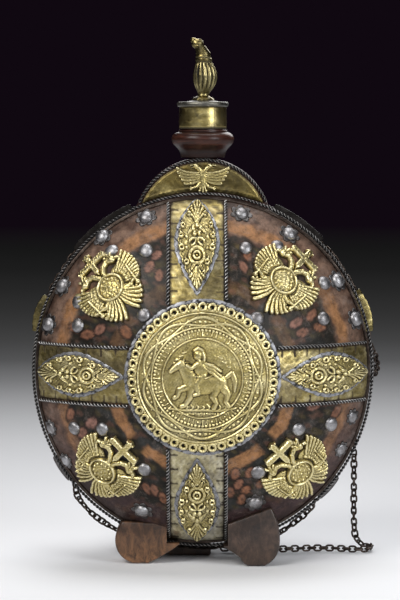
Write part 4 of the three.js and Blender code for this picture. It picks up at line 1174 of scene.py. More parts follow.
def ellipsoid(centre, scale, tilt):
    """A ball drawn out to three half sizes and tipped in the front view."""
    rows, columns = 14, 24
    rise = np.linspace(-np.pi / 2, np.pi / 2, rows)[1:-1][:, None]
    turn = full_turn(columns)[None]
    level = np.broadcast_to(np.sin(rise), (rows - 2, columns))
    ball = np.stack([np.cos(rise) * np.cos(turn), np.cos(rise) * np.sin(turn), level], axis=-1)
    ball = np.vstack([ball.reshape(-1, 3), [[0, 0, -1], [0, 0, 1]]]) * np.array(scale)
    cos, sin = math.cos(tilt), math.sin(tilt)
    ball = ball @ np.array([[cos, 0, -sin], [0, 1, 0], [sin, 0, cos]]) + np.array(centre)
    faces = grid_faces(rows - 2, columns)
    low, high = len(ball) - 2, len(ball) - 1
    last = (rows - 3) * columns
    faces += [((j + 1) % columns, j, low) for j in range(columns)]
    faces += [(last + j, last + (j + 1) % columns, high) for j in range(columns)]
    return ball, faces


def bake_modifiers(obj):
    graph = bpy.context.evaluated_depsgraph_get()
    mesh = bpy.data.meshes.new_from_object(obj.evaluated_get(graph))
    obj.modifiers.clear()
    obj.data = mesh
    return mesh


def soften(obj, voxel, passes):
    """Fuses overlapping forms into one skin and smooths it."""
    remesh = obj.modifiers.new("skin", "REMESH")
    remesh.mode = "VOXEL"
    remesh.voxel_size = voxel * MM
    smooth = obj.modifiers.new("smooth", "SMOOTH")
    smooth.factor = 0.5
    smooth.iterations = passes
    bake_modifiers(obj).shade_smooth()


def stopper_plug():
    low, high = node_box("stopper_plug")
    radius, bottom, top = high[0], low[2], high[2]
    profile = [
        (STOPPER_POLE, bottom), (radius - 2.2, bottom), (radius - 1.4, bottom + 0.5),
        (radius - 0.2, bottom + 7), (radius, bottom + 9), (radius, top), (STOPPER_POLE, top),
    ]
    points, faces = turned(profile, PLUG_SIDES, "neck")
    piece("plug_peg", points, faces, PLUG_WOOD, "foot_wood", body="stopper", nodes=["stopper_plug"],
          sharp=30)


slab("crest_shoulder", crest_outline(), CREST_FRONT, 2 * MID_Y - CREST_FRONT, 0.9, DARK_WOOD,
     "crest_block")
crest_plate()
crest_wire()
turned_neck()
cap_sleeve()
cap_lid()
finial()
stopper_plug()


# Cross of brass strips with embossed lozenges

UPRIGHT_DRIFT = -4.0
ARM_HALF_WIDTH = 19.3
ARM_INNER = 30.0
ARM_OUTER = RIM_RADIUS - BAND_LIP - 0.6
LOZENGE_INNER = node_box("lozenge_right")[0][0]
LOZENGE_OUTER = node_box("lozenge_right")[1][0]
LOZENGE_WIDEST = 90.0
LOZENGE_HALF = 13.4
BED_MARGIN = 2.4
BACKING_RADIUS = 55.5
# Eyed curls along each edge of a lozenge: place from its widest line, distance from the edge, size
LOZENGE_CURLS = (
    (18.5, 3.6, 1.6), (11.0, 2.5, 1.9), (4.6, 2.6, 1.9), (-3.4, 2.8, 2.2), (-13.0, 3.3, 2.0),
    (-20.5, 2.4, 1.3),
)
ARMS = {"top": 90, "right": 0, "bottom": 270, "left": 180}


def lozenge_edge(u, margin):
    """Half width of the lozenge at each distance from the middle of the face."""
    inner, outer, half = LOZENGE_INNER - margin, LOZENGE_OUTER + 0.5 * margin, LOZENGE_HALF + margin
    inward = np.clip((LOZENGE_WIDEST - u) / (LOZENGE_WIDEST - inner), 0, 1)
    outward = np.clip((u - LOZENGE_WIDEST) / (outer - LOZENGE_WIDEST), 0, 1)
    width_in = half * (1 - inward ** 1.5) + 0.6
    width_out = half * (1 - outward ** 2) ** 0.8 + 0.6
    return np.where(u < LOZENGE_WIDEST, width_in, width_out)


def lozenge_outline(sheet, margin):
    inner, outer = LOZENGE_INNER - margin, LOZENGE_OUTER + 0.5 * margin
    side = np.abs(sheet.v) - lozenge_edge(sheet.u, margin)
    slant = 0.88
    return np.maximum(side * slant, np.maximum(inner - sheet.u, sheet.u - outer))


def palmette(sheet, base, tip, rays, spread, width, height):
    """Curved leaves fanning out along the axis from a base to a tip."""
    for i in range(rays):
        share = 2 * i / (rays - 1) - 1
        reach = (tip - base) * (1 - 0.52 * abs(share))
        path = bezier((base, 0.9 * share), (base + 0.75 * reach, 0.45 * spread * share),
                      (base + reach, spread * share), 9)
        sheet.ridge(path, width * np.linspace(0.55, 1.0, len(path)), height * (1 - 0.15 * abs(share)))


def lozenge_sheet():
    """Palmettes at both tips, a ball flower and a ringed boss on the axis, and eyed curls along the edge."""
    sheet = Relief((LOZENGE_INNER - 2, -LOZENGE_HALF - 2), (LOZENGE_OUTER + 2, LOZENGE_HALF + 2), 0.36)
    widest = LOZENGE_WIDEST
    flower, eye = widest + 8.2, widest - 8.6
    lobes = 0.7 * np.abs(np.sin(0.62 * (sheet.u - widest)))
    sheet.cut(lozenge_outline(sheet, 0) + 0.7 - lobes)
    sheet.height = 0.35 * np.exp(-((sheet.outline + 0.7) / 0.5) ** 2) + 0.1
    palmette(sheet, widest + 13.0, LOZENGE_OUTER - 0.8, 7, 6.6, 1.05, 1.7)
    palmette(sheet, widest - 16.5, LOZENGE_INNER + 0.8, 7, 6.4, 1.15, 1.8)
    for i in range(5):
        u, v = polar(2.9, 2 * np.pi * i / 5)
        sheet.boss(flower + u, v, 1.75, 2.0)
    sheet.ring(eye, 0, 5.2, 1.3, 1.5)
    sheet.ring(eye, 0, 2.3, 0.9, 2.1)
    sheet.boss(eye, 0, 0.8, 1.8)
    for side in (1, -1):
        for offset, depth, size in LOZENGE_CURLS:
            u = widest + offset
            v = side * (float(lozenge_edge(np.array(u), 0)) - depth)
            sheet.ring(u, v, 0.68 * size, 0.36 * size, 1.9)
            bend, tip = (u + 1.5 * size, v + side * 0.6 * size), (u + 2.2 * size, v + side * 0.2)
            sheet.ridge([(u + 0.9 * size, v), bend, tip], (0.7, 0.62, 0.4), 1.6)
            sheet.eye(u, v, 0.34 * size)
        outer = bezier((widest + 2.4, side * 0.8), (widest + 3.4, side * 4.4), (widest - 0.6, side * 5.6), 8)
        inner = bezier((widest + 1.6, side * 0.6), (widest - 1.6, side * 1.4), (widest - 2.4, side * 4.2), 8)
        sheet.ridge(outer, 0.8, 1.7)
        sheet.ridge(inner, 0.75, 1.6)
        sheet.leaf((widest + 12.2, side * 0.8), (widest + 5.2, side * 6.6), 1.3, 1.6)
        sheet.leaf((widest - 13.6, side * 1.2), (widest - 18.4, side * 4.2), 1.2, 1.6)
        sheet.boss(widest + 3.6, side * 7.4, 1.1, 1.5)
        sheet.boss(widest - 3.6, side * 7.2, 1.0, 1.5)
        sheet.eye(widest + 0.2, side * 3.1, 0.8)
    sheet.eye(widest + 4.4, 0, 0.9)
    sheet.eye(widest - 15.2, 0, 0.9)
    sheet.chase(0.38)
    return sheet


def bed_sheet():
    """The plain, uneven bed that shows round a lozenge."""
    sheet = Relief((LOZENGE_INNER - 5, -LOZENGE_HALF - 5), (LOZENGE_OUTER + 5, LOZENGE_HALF + 5), 0.8)
    sheet.cut(lozenge_outline(sheet, BED_MARGIN) + 0.5 * sheet.waves(8, 5))
    sheet.height = 0.12 + 0.1 * sheet.waves(11, 3)
    sheet.dirt_and_shade = smooth_step(0.1, 0.5, sheet.waves(7, 6))
    return sheet


def strip_sheet(spot, seed):
    """A beaten strip whose end follows the rim."""
    sheet = Relief((ARM_INNER, -ARM_HALF_WIDTH - 1), (RIM_RADIUS + 1, ARM_HALF_WIDTH + 1), 0.7)
    x, z = spot(sheet.u, sheet.v)
    beyond = np.hypot(x, z / RIM_OVAL) - ARM_OUTER
    edge = ARM_HALF_WIDTH - np.abs(sheet.v)
    sheet.cut(np.maximum(-edge, np.maximum(ARM_INNER - sheet.u, beyond)))
    dents = 0.16 * sheet.waves(17, seed) + 0.1 * sheet.waves(7, seed + 2)
    sheet.height = 0.22 + np.clip(dents, -0.2, 0.25)
    step = np.where(sheet.v > 0, 9.0, 10.5)
    nick = np.exp(-(((sheet.u + 2.1 * seed) % step - step / 2) / 0.55) ** 2) * (edge < 5.5)
    # Dark nicks by the edges at even steps, and darker along both long edges and towards the end by the rim
    dirt_and_shade = 1.1 * nick + 0.7 * smooth_step(2.4, 0.2, edge) + 0.6 * smooth_step(-4, 0, beyond)
    sheet.dirt_and_shade = np.clip(dirt_and_shade, 0, 1.3)
    return sheet


def arm(name, degrees, seed):
    """One arm of the cross: strip, bed and lozenge, with a twisted wire along each edge."""
    upright = degrees in (90, 270)
    stretch, squeeze, drift = (RIM_OVAL, 1.0, UPRIGHT_DRIFT) if upright else (1.0, RIM_OVAL, 0.0)
    spot = face_spot(math.radians(degrees), stretch, drift)
    lay = face_lay(spot)
    # The bottom arm gets the lighter copy: a painted reflection of the floor below it
    brass = SHEET_PAINTED_FLOOR_REFLECTION if name == "bottom" else BRASS_SHEET
    strip = strip_sheet(spot, seed)
    sheet_piece(f"arm_plate_{name}", "sheet", strip, lay, ARM_LIFT, ARM_SHEET - 0.2, brass, "brass_sheet")
    sheet_piece(f"lozenge_bed_{name}", "sheet", BED, lay, BED_LIFT, BED_SHEET, TIN, "tin")
    sheet_piece(f"lozenge_{name}", "sheet", LOZENGE, lay, LOZENGE_LIFT, LOZENGE_SHEET, BRASS, "brass")
    for letter, side in (("a", 1), ("b", -1)):
        edge = side * (ARM_HALF_WIDTH + FIT + ROPE_MIDDLE)
        across = spot(0, edge)[0 if upright else 1]
        start = math.sqrt((BACKING_RADIUS + 1.4) ** 2 - across ** 2) / stretch
        end = math.sqrt((ARM_OUTER - 0.6) ** 2 - (across / squeeze) ** 2)
        line, normal = on_dome(*spot(np.linspace(start, end, 40), edge), np.full(40, ROPE_MIDDLE + FIT))
        wire_piece(f"arm_rope_{name}_{letter}", line, normal, 1.05, WIRE)


LOZENGE = lozenge_sheet()
BED = bed_sheet()
for arm_seed, (arm_name, arm_turn) in enumerate(ARMS.items()):
    arm(arm_name, arm_turn, arm_seed)


# Medallion: tin backing, embossed disc and looped border

DISH_RADIUS = 46.0
LOOPS = 46
FIELD_RADIUS = 27.6
WREATH_INNER = 35.0
BEADS = 84
# Strokes and beads in the ring outside the field
MARKS = 60
MARK_RADIUS = 31.0
RIDER_SCALE = 1.2


def backing_sheet():
    sheet = Relief((-57, -57), (57, 57), 0.9)
    reach = np.hypot(sheet.u, sheet.v)
    crumbs = sheet.waves(9, 6)
    sheet.cut(reach - BACKING_RADIUS + 0.5 * crumbs)
    sheet.height = 0.12 + 0.12 * sheet.waves(12, 4) * (reach > 44)
    # Painted shade on the ring of backing under the looped border
    shade_under_border = smooth_step(44.5, 46, reach) * smooth_step(54, 51.5, reach)
    sheet.dirt_and_shade = 1.2 * shade_under_border + smooth_step(0.1, 0.5, crumbs)
    return sheet


def rider(sheet):
    """A rider of no one in particular on a stepping horse, over a leafy ground."""
    def ridge(path, width, height):
        sheet.ridge(RIDER_SCALE * np.asarray(path), RIDER_SCALE * np.asarray(width), height)

    def mass(u, v, along, across, tilt, height):
        middle = (RIDER_SCALE * u, RIDER_SCALE * v)
        size = (RIDER_SCALE * along, RIDER_SCALE * across)
        reach = oval_mask(sheet.u, sheet.v, *middle, math.radians(tilt), *size)
        sheet.add(reach, height * rounded(reach))

    # Horse: body, haunch, chest, neck, head, ear, mane, legs and tail
    mass(1.5, -3.2, 11.8, 6.2, 4, 2.5)
    mass(9.0, -2.2, 5.6, 5.6, 0, 2.4)
    mass(-6.4, -1.6, 5.0, 5.6, 20, 2.3)
    ridge([(-7.0, 0.0), (-9.6, 4.4), (-12.2, 7.8)], (4.6, 3.7, 2.7), 2.4)
    ridge([(-12.2, 8.4), (-15.6, 6.6), (-18.4, 4.2)], (2.7, 2.2, 1.5), 2.4)
    ridge([(-11.2, 9.6), (-10.6, 12.0)], (0.9, 0.4), 2.0)
    for i in range(6):
        ridge([(-10.0 + 0.9 * i, 9.4 - 1.9 * i), (-7.6 + 0.9 * i, 9.4 - 2.1 * i)], (0.5, 0.3), 2.3)
    ridge([(-8.4, -4.6), (-13.4, -6.4), (-14.6, -10.2), (-16.2, -11.2)], (2.5, 1.9, 1.4, 1.5), 2.0)
    ridge([(-6.4, -5.8), (-7.4, -11.2), (-10.2, -15.6), (-12.0, -16.2)], (2.6, 1.9, 1.4, 1.6), 2.1)
    ridge([(8.2, -5.0), (6.0, -10.4), (8.0, -14.2), (6.4, -17.2)], (3.1, 2.1, 1.5, 1.6), 2.1)
    ridge([(11.4, -4.4), (14.8, -8.8), (13.4, -13.4), (15.2, -16.2)], (3.1, 2.1, 1.5, 1.6), 2.0)
    ridge([(13.4, 0.6), (17.2, 3.2), (19.0, -1.6), (18.4, -7.6)], (1.2, 1.7, 1.8, 0.7), 1.6)
    # Rider: trunk, leg, cloak, arm, neck, head, hair, hat, nose and saddle edge
    mass(-0.6, 6.0, 4.6, 5.8, 12, 3.0)
    ridge([(0.2, 1.8), (-3.2, -3.2), (-2.4, -8.4), (-4.8, -9.4)], (3.0, 2.4, 1.6, 1.2), 2.9)
    for i in range(3):
        ridge([(1.4, 8.6 - 1.4 * i), (6.0, 7.2 - 2.0 * i), (10.4, 4.4 - 2.6 * i)], (1.2, 1.5, 1.0), 2.6)
    ridge([(-2.6, 8.6), (-6.4, 6.0), (-9.0, 7.8)], (1.8, 1.4, 1.2), 2.9)
    ridge([(-1.6, 9.4), (-2.0, 10.8)], (1.5, 1.3), 2.5)
    mass(-2.5, 14.0, 3.7, 3.0, 90, 2.9)
    ridge([(-0.4, 15.8), (0.8, 13.2), (1.0, 10.8)], (1.7, 1.6, 1.1), 2.6)
    ridge([(-4.9, 16.2), (-2.5, 17.6), (0.2, 16.4)], (0.9, 1.2, 0.9), 3.0)
    ridge([(-4.2, 14.3), (-4.4, 13.2)], (0.4, 0.55), 3.2)
    ridge([(-4.0, 1.6), (1.4, 0.2), (5.4, 2.0)], (0.6, 0.7, 0.6), 2.9)
    # Ground line, grass and small leaves
    ridge([(-19.5, -17.6), (-10, -18.6), (0, -18.4), (10, -18.8), (18.6, -17.4)], 0.8, 1.2)
    for i in range(9):
        u = -12.8 + 3.2 * i
        ridge([(u, -18.6), (u + 0.8, -16.6), (u - 0.4, -15.2 + 0.5 * math.sin(3 * i))], (0.6, 0.7, 0.3), 1.1)
        ridge([(u - 0.8, -20.4), (u + 1.0, -20.8)], 0.55, 1.0)
    for i in range(4):
        ridge([(9.2 + 2.6 * i, 12.6 - 2.8 * i), (11.0 + 2.4 * i, 11.8 - 2.6 * i)], (0.5, 0.7), 1.0)
        ridge([(-9.6 - 2.0 * i, 15.4 - 2.0 * i), (-11.4 - 1.8 * i, 14.8 - 2.0 * i)], (0.5, 0.7), 1.0)


def dish_sheet():
    """Rings, crossed vines, beads and strokes round a field with the rider."""
    sheet = Relief((-48, -48), (48, 48), 0.42)
    reach = np.hypot(sheet.u, sheet.v)
    turn = np.arctan2(sheet.v, sheet.u)
    sheet.cut(reach - DISH_RADIUS)
    sheet.height = 0.3 + 0.1 * sheet.waves(9, 2) * (reach < FIELD_RADIUS)
    sheet.ring(0, 0, DISH_RADIUS - 0.8, 0.75, 1.4)
    sheet.ring(0, 0, WREATH_INNER + 0.5, 0.8, 1.5)
    sheet.ring(0, 0, FIELD_RADIUS + 0.2, 0.7, 1.4)
    vine = WREATH_INNER + 4.4
    for phase in (0, math.pi):
        wave = vine + 3.0 * np.sin(5 * turn + phase)
        slope = np.hypot(1, 15 * np.cos(5 * turn + phase) / vine)
        gap = np.abs(reach - wave) / slope
        sheet.add(gap, 1.3 * rounded(gap))
    for i in range(10):
        knot = math.pi / 5 * i
        for lean in (-0.07, 0.07):
            for out in (-2.4, 2.4):
                sheet.boss(*polar(vine + out, knot + lean), 0.85, 1.2)
        for lean, size in ((-0.13, 0.8), (-0.05, 1.2), (0.05, 1.2), (0.13, 0.8)):
            sheet.boss(*polar(vine, knot + math.pi / 10 + lean), size, 1.1)
    for i in range(BEADS):
        sheet.boss(*polar(WREATH_INNER - 1.4, 2 * np.pi * i / BEADS), 1.1, 1.3)
    for i in range(MARKS):
        angle = 2 * np.pi * i / MARKS
        if i % 3 == 2:
            sheet.boss(*polar(MARK_RADIUS, angle), 0.8, 1.1)
        else:
            sheet.ridge([polar(MARK_RADIUS - 1.4, angle), polar(MARK_RADIUS + 1.4, angle)], 0.5, 1.0)
    rider(sheet)
    sheet.chase(0.2)
    # Darker towards the bottom of the disc
    sheet.dirt_and_shade = 0.3 * smooth_step(5, -40, sheet.v + 6 * sheet.waves(15, 3))
    return sheet


def border_sheet():
    """A ring of touching open loops round the disc, with dirt and painted shade in their eyes and on the low
    ground between them.
    """
    sheet = Relief((-54, -54), (54, 54), 0.4)
    sheet.ring(0, 0, DISH_RADIUS + 0.6, 0.75, 1.0)
    middle = DISH_RADIUS + 3.5
    for i in range(LOOPS):
        angle = 2 * np.pi * (i + 0.5) / LOOPS
        u, v = polar(middle, angle)
        sheet.ring(u, v, 2.35, 1.2, 1.5)
        curl_u, curl_v = polar(1.1, angle + 2.2)
        sheet.boss(u + curl_u, v + curl_v, 0.75, 1.2)
        between = 2 * np.pi * i / LOOPS
        sheet.boss(*polar(middle - 2.2, between), 1.2, 1.3)
        sheet.boss(*polar(middle + 2.2, between), 0.8, 0.9)
    sheet.chase(0.2)
    # Dirt and painted shade on the low ground
    sheet.dirt_and_shade = 0.9 * smooth_step(1.0, 0.4, sheet.height)
    return sheet


FACE = face_lay(face_spot(0))
sheet_piece("medallion_backing", "sheet", backing_sheet(), FACE, BED_LIFT, BACKING_SHEET, TIN, "tin")
sheet_piece("medallion_dish", "relief", dish_sheet(), FACE, MEDALLION_LIFT, DISH_SHEET, BRASS, "brass")
sheet_piece("medallion_border", "relief", border_sheet(), FACE, MEDALLION_LIFT, BORDER_SHEET, BRASS, "brass")


# Badges: double-headed birds with crossed staves

BADGE_UNIT = 29.0
FEATHERS = 10
# Inset from the rim, turn round the face and turn of the head, in millimetres and degrees
BADGES = {
    "upper_left": (33.3, 137.5, 135), "upper_right": (35.5, 48.5, 45), "lower_left": (24, 223.1, 45),
    "lower_right": (24.5, 315.7, 135),
}


def bird_side(ridge, boss, side):
    """Half of a badge: wing, neck and head, rod and claw, and half the tail, in units of the half span."""
    def line(*places):
        return [(side * x, y) for x, y in places]

    def fan(x, y, degrees, reach):
        u, v = polar(reach, math.radians(degrees))
        return (side * (x + u), y + v)

    ridge(line((0.2, 0.0), (0.42, 0.12), (0.6, 0.24)), (0.24, 0.3, 0.2), 0.035)
    for i in range(FEATHERS):
        share = i / (FEATHERS - 1)
        reach = 0.66 + 0.3 * share ** 0.8
        feather = [fan(0.08, -0.02, -24 + 66 * share, out) for out in (0.36, 0.8 * reach, reach - 0.03)]
        ridge(feather, (0.03, 0.048, 0.056), 0.07)
    for row, reach in enumerate((0.38, 0.47, 0.56)):
        for i in range(5 + row):
            degrees = -18 + (58 - 3 * row) * i / (4 + row)
            boss(fan(0.08, 0.0, degrees, reach), 0.05, 0.09 - 0.008 * row)
    ridge(line((0.04, 0.26), (0.08, 0.44), (0.18, 0.6), (0.32, 0.66), (0.44, 0.6)),
          (0.085, 0.075, 0.07, 0.075, 0.09), 0.1)
    boss((side * 0.46, 0.6), 0.105, 0.12)
    ridge(line((0.5, 0.6), (0.6, 0.56), (0.63, 0.47)), (0.065, 0.05, 0.02), 0.085)
    for degrees in (60, 96, 132):
        ridge([fan(0.44, 0.64, degrees, 0.05), fan(0.44, 0.64, degrees, 0.17)], (0.035, 0.045), 0.075)
    ridge(line((0.64, 0.16), (0.6, -0.36)), 0.035, 0.11)
    ridge(line((0.48, -0.3), (0.72, -0.26)), 0.04, 0.11)
    boss((side * 0.6, -0.4), 0.075, 0.11)
    ridge(line((0.2, -0.22), (0.4, -0.32), (0.54, -0.26)), (0.1, 0.08, 0.06), 0.085)
    for degrees in (-130, -80, -30):
        boss(fan(0.5, -0.34, degrees, 0.1), 0.045, 0.08)
    for i in range(5):
        degrees = 277 + 9.5 * i
        bends = ((degrees, 0.2), (degrees, 0.5), (degrees + 4, 0.72), (degrees + 7, 0.86 - 0.03 * i))
        ridge([fan(0, -0.06, turn, reach) for turn, reach in bends], (0.04, 0.052, 0.06, 0.052), 0.08)
    ridge(line((0.38, 0.84), (0.38, 1.0)), 0.035, 0.1)
    ridge(line((0.36, 0.86), (0.46, 0.74)), 0.04, 0.07)


def badge_sheet(size):
    """Both halves of the bird, its beaded shield and the crossed staves above it."""
    sheet = Relief((-31, -34), (31, 38), 0.36)

    def ridge(path, widths, height, flat=0.0):
        sheet.ridge(size * np.array(path), size * np.array(widths), size * height, flat)

    def boss(place, radius, height):
        sheet.boss(size * place[0], size * place[1], size * radius, size * height)

    for side in (1, -1):
        bird_side(ridge, boss, side)
    boss((0, 0), 0.36, 0.11)
    sheet.ring(0, 0, 0.33 * size, 0.04 * size, 0.125 * size)
    for count, reach in ((6, 0.11), (12, 0.22)):
        for i in range(count):
            boss(polar(reach, math.radians(360 * i / count + 8)), 0.045, 0.13)
    boss((0, 0), 0.055, 0.14)
    ridge([(0, 0.48), (0, 0.62)], (0.012, 0.062), 0.1, 0.6)
    ridge([(0, 0.62), (0, 1.18)], 0.082, 0.11, 0.65)
    ridge([(-0.36, 0.92), (0.36, 0.92)], 0.082, 0.11, 0.65)
    ridge([(-0.09, 1.19), (0.09, 1.19)], 0.035, 0.1)
    sheet.chase(0.42)
    return sheet


BADGE = badge_sheet(BADGE_UNIT)
for badge_name, (inset, badge_turn, head_turn) in BADGES.items():
    badge_x, badge_z = polar(RIM_RADIUS - inset, math.radians(badge_turn))
    badge_lay = spot_lay(badge_x, RIM_OVAL * badge_z, math.radians(head_turn))
    sheet_piece(f"eagle_badge_{badge_name}", "relief", BADGE, badge_lay, FIT, BADGE_SHEET, BRASS, "brass")


def crest_eagle():
    """A small two-headed bird: wings hung with feathers, a pinched body, splayed legs and a short tail."""
    low, high = node_box("crest_eagle")
    middle = (low[2] + high[2]) / 2
    sheet = Relief((-21, -13), (21, 13), 0.3)
    sheet.ridge([(0, 4.2), (0, -0.5), (0, -5.0)], (2.9, 3.6, 2.2), 2.3)
    for side in (1, -1):
        sheet.ridge([(side * 1.0, 3.6), (side * 2.6, 6.6), (side * 5.0, 8.2)], (2.2, 1.9, 1.8), 2.3)
        sheet.boss(side * 5.2, 8.8, 2.3, 2.6)
        sheet.ridge([(side * 6.6, 9.4), (side * 9.2, 9.0)], (1.0, 0.4), 1.6)
        sheet.ridge([(side * 6.2, 8.2), (side * 8.4, 7.2)], (0.8, 0.4), 1.4)
        for share in np.linspace(0, 1, 5):
            start = np.array([side * (3.2 - 0.6 * share), 3.6 - 6.0 * share])
            tip = np.array([side * (18.6 - 5.6 * share ** 1.5), 6.8 - 11.0 * share])
            sag = (start + tip) / 2 + np.array([side * 1.4, -2.0 + 0.4 * share])
            feather = np.vstack([bezier(start, sag, tip, 8), tip])
            sheet.ridge(feather, np.linspace(1.0, 1.45, len(feather)), 2.2 - 0.3 * share, flat=0.35)
        sheet.ridge([(side * 1.6, -4.0), (side * 4.2, -6.6), (side * 7.4, -7.6)], (2.0, 1.6, 1.2), 2.1)
        for lean in (-1, 0, 1):
            sheet.ridge([(side * 7.0, -7.6), (side * 9.0, -7.8 + 1.3 * lean)], (0.95, 0.7), 1.8)
        sheet.ridge([(side * 0.6, -4.6), (side * 2.4, -9.8)], (1.0, 1.3), 1.9)
    sheet.ridge([(0, -4.6), (0, -10.4)], (1.0, 1.2), 2.0)
    sheet.chase(0.2)
    # Dirt and painted shade on the low ground between feathers and limbs
    sheet.dirt_and_shade = 0.8 * smooth_step(0.9, 0.3, sheet.height)

    def lay(u, v, lift):
        return np.stack([u, high[1] - lift, middle + v], axis=-1)

    sheet_piece("crest_eagle", "relief", sheet, lay, 0.0, CREST_SHEET, BRASS, "brass")


crest_eagle()


# Domed nails, some on cut star washers

NAIL_RADIUS = 5.1
NAIL_HEIGHT = 3.2
NAIL_SIDES = 32
# Front-view places of the nails, x and z from the middle of the face
PLAIN_NAILS = (
    (-66, 88), (-41, 89), (-90, 52), (-90, 35), (-42, 44), (31, 91), (54, 92), (88, 65), (87, 40), (39, 42),
    (-93, -40), (-72, -39), (-42, -68), (93, -37), (69, -39), (40, -70),
)
STAR_NAILS = (
    (-41, 112), (-73, 98), (-102, 62), (-112, 34), (28, 115), (63, 100), (98, 66), (111, 38), (-44, -101),
    (38, -94),
)
FAINT_NAILS = ((-111, -42), (-100, -66), (109, -33), (101, -57))


def nail_part(x, z, radius, height, lift):
    """A domed head with a slightly flared foot, standing square to the wood."""
    centre, normal = on_dome(x, z, np.array(lift))
    across = unit(np.cross(normal, np.array([0.0, 0.0, 1.0])))
    up = np.cross(normal, across)
    profile = [(radius * 1.04, 0.0), (radius * 1.05, 0.35)]
    for share in np.linspace(0.08, 1, 10):
        angle = share * math.pi / 2
        profile.append((max(radius * math.cos(angle), 0.05), 0.4 + (height - 0.4) * math.sin(angle)))
    turn = full_turn(NAIL_SIDES)
    reach, rise = np.hsplit(np.array(profile), 2)
    reach = reach * (1 + 0.03 * np.sin(2 * turn + 0.37 * x))
    points = centre + (reach * np.cos(turn))[..., None] * across + (reach * np.sin(turn))[..., None] * up
    points = (points + rise[..., None] * normal).reshape(-1, 3)
    return points, capped(grid_faces(len(profile), NAIL_SIDES), len(points), NAIL_SIDES)


def star_washer(x, z, radius, tips, spin):
    """A thin washer with a scalloped edge."""
    sheet = Relief((-radius - 2, -radius - 2), (radius + 2, radius + 2), 0.4)
    reach = np.hypot(sheet.u, sheet.v)
    turn = np.arctan2(sheet.v, sheet.u) + spin
    lobes = np.abs(np.cos(tips * turn / 2)) ** 0.8
    sheet.cut((reach - radius * (0.7 + 0.3 * lobes)) * 0.85)
    sheet.height = 0.15 + 0.35 * lobes * smooth_step(0.6 * radius, 0.95 * radius, reach)
    return sheet.solid(spot_lay(x, z, math.pi / 2), 0.15, 0.4)[:2]


def nails():
    heads = []
    for x, z in PLAIN_NAILS:
        heads.append(nail_part(x, z, NAIL_RADIUS + 0.35 * math.sin(3 * x), NAIL_HEIGHT, -0.1))
    heads += [nail_part(x, z, NAIL_RADIUS, NAIL_HEIGHT + 0.4, 0.4) for x, z in STAR_NAILS]
    heads += [nail_part(x, z, 0.8 * NAIL_RADIUS, 0.5 * NAIL_HEIGHT, 0.3) for x, z in FAINT_NAILS]
    piece("nail_heads", *join_parts(heads), STEEL, "tin", sharp=60)
    stars = [star_washer(x, z, 8.4, 7, 0.3 * i) for i, (x, z) in enumerate(STAR_NAILS)]
    stars += [star_washer(x, z, 6.6, 8, 0.5 * i) for i, (x, z) in enumerate(FAINT_NAILS)]
    piece("star_washers", *join_parts(stars), WASHER, "tin", sharp=50)


nails()


# Feet

# Start, control and end of each curve of a foot's outline, as x and z
FOOT_OUTLINES = {
    "left": (
        ((-59, 31), (-66, 21), (-63.5, 12)), ((-63.5, 12), (-61, 3), (-51, 0)),
        ((-51, 0), (-45, 0), (-40, 0)), ((-40, 0), (-33, 3), (-27, 7)), ((-27, 7), (-20, 11), (-17, 14)),
        ((-17, 14), (-17, 21), (-17, 29)),
    ),
    "right": (
        ((16, 30), (15.5, 22), (15, 14)), ((15, 14), (22, 10), (27, 6)), ((27, 6), (31, 0), (34, 0)),
        ((34, 0), (40, 0), (45, 0)), ((45, 0), (54, 4), (56, 14)), ((56, 14), (57.5, 29), (50, 43)),
    ),
    "rear": (
        ((-36, 44), (-35, 27), (-34, 10)), ((-34, 10), (-31, 2), (-24, 0)), ((-24, 0), (-9, 0), (6, 0)),
        ((6, 0), (6, 22), (6, 44)),
    ),
}
FOOT_WOODS = {"left": LEFT_FOOT_WOOD, "right": RIGHT_FOOT_WOOD, "rear": RIGHT_FOOT_WOOD}
CUTTER_SIDES = 128
BOX_FACES = ((0, 1, 3, 2), (4, 6, 7, 5), (0, 4, 5, 1), (2, 3, 7, 6), (0, 2, 6, 4), (1, 5, 7, 3))


def cutter(name, points, faces):
    """A solid to be taken away from the feet."""
    mesh = bpy.data.meshes.new(name)
    mesh.from_pydata((points * MM).tolist(), [], faces)
    shape = bmesh.new()
    shape.from_mesh(mesh)
    bmesh.ops.recalc_face_normals(shape, faces=shape.faces)
    shape.to_mesh(mesh)
    shape.free()
    return add_object(name, mesh)


def foot_cutters():
    """A solid a little larger than the body and bands, and room for the lowest strip."""
    wire = RIM_RADIUS + 4
    rows = []
    for r in np.linspace(0.5, wire, 50):
        over_dome = r < RIM_RADIUS - 4
        rows.append((r, -dome_depth(r) - 0.1 if over_dome else -HALF_RIM - 1.2 - (wire - r) * 0.9))
    rows += [(wire, -HALF_RIM + 6), (RIM_RADIUS + 0.15, -HALF_RIM + 6)]
    profile = rows + [(r, -depth) for r, depth in rows[::-1]]
    half, low = ARM_HALF_WIDTH + 3.1, RIM_Z - RIM_OVAL * RIM_RADIUS
    corners = [
        (UPRIGHT_DRIFT + x, y, z)
        for z in (low, low + 60) for y in (MID_Y - 70, MID_Y) for x in (-half, half)
    ]
    return [cutter("body_room", *turned(profile, CUTTER_SIDES, "face")),
            cutter("strip_room", np.array(corners), BOX_FACES)]


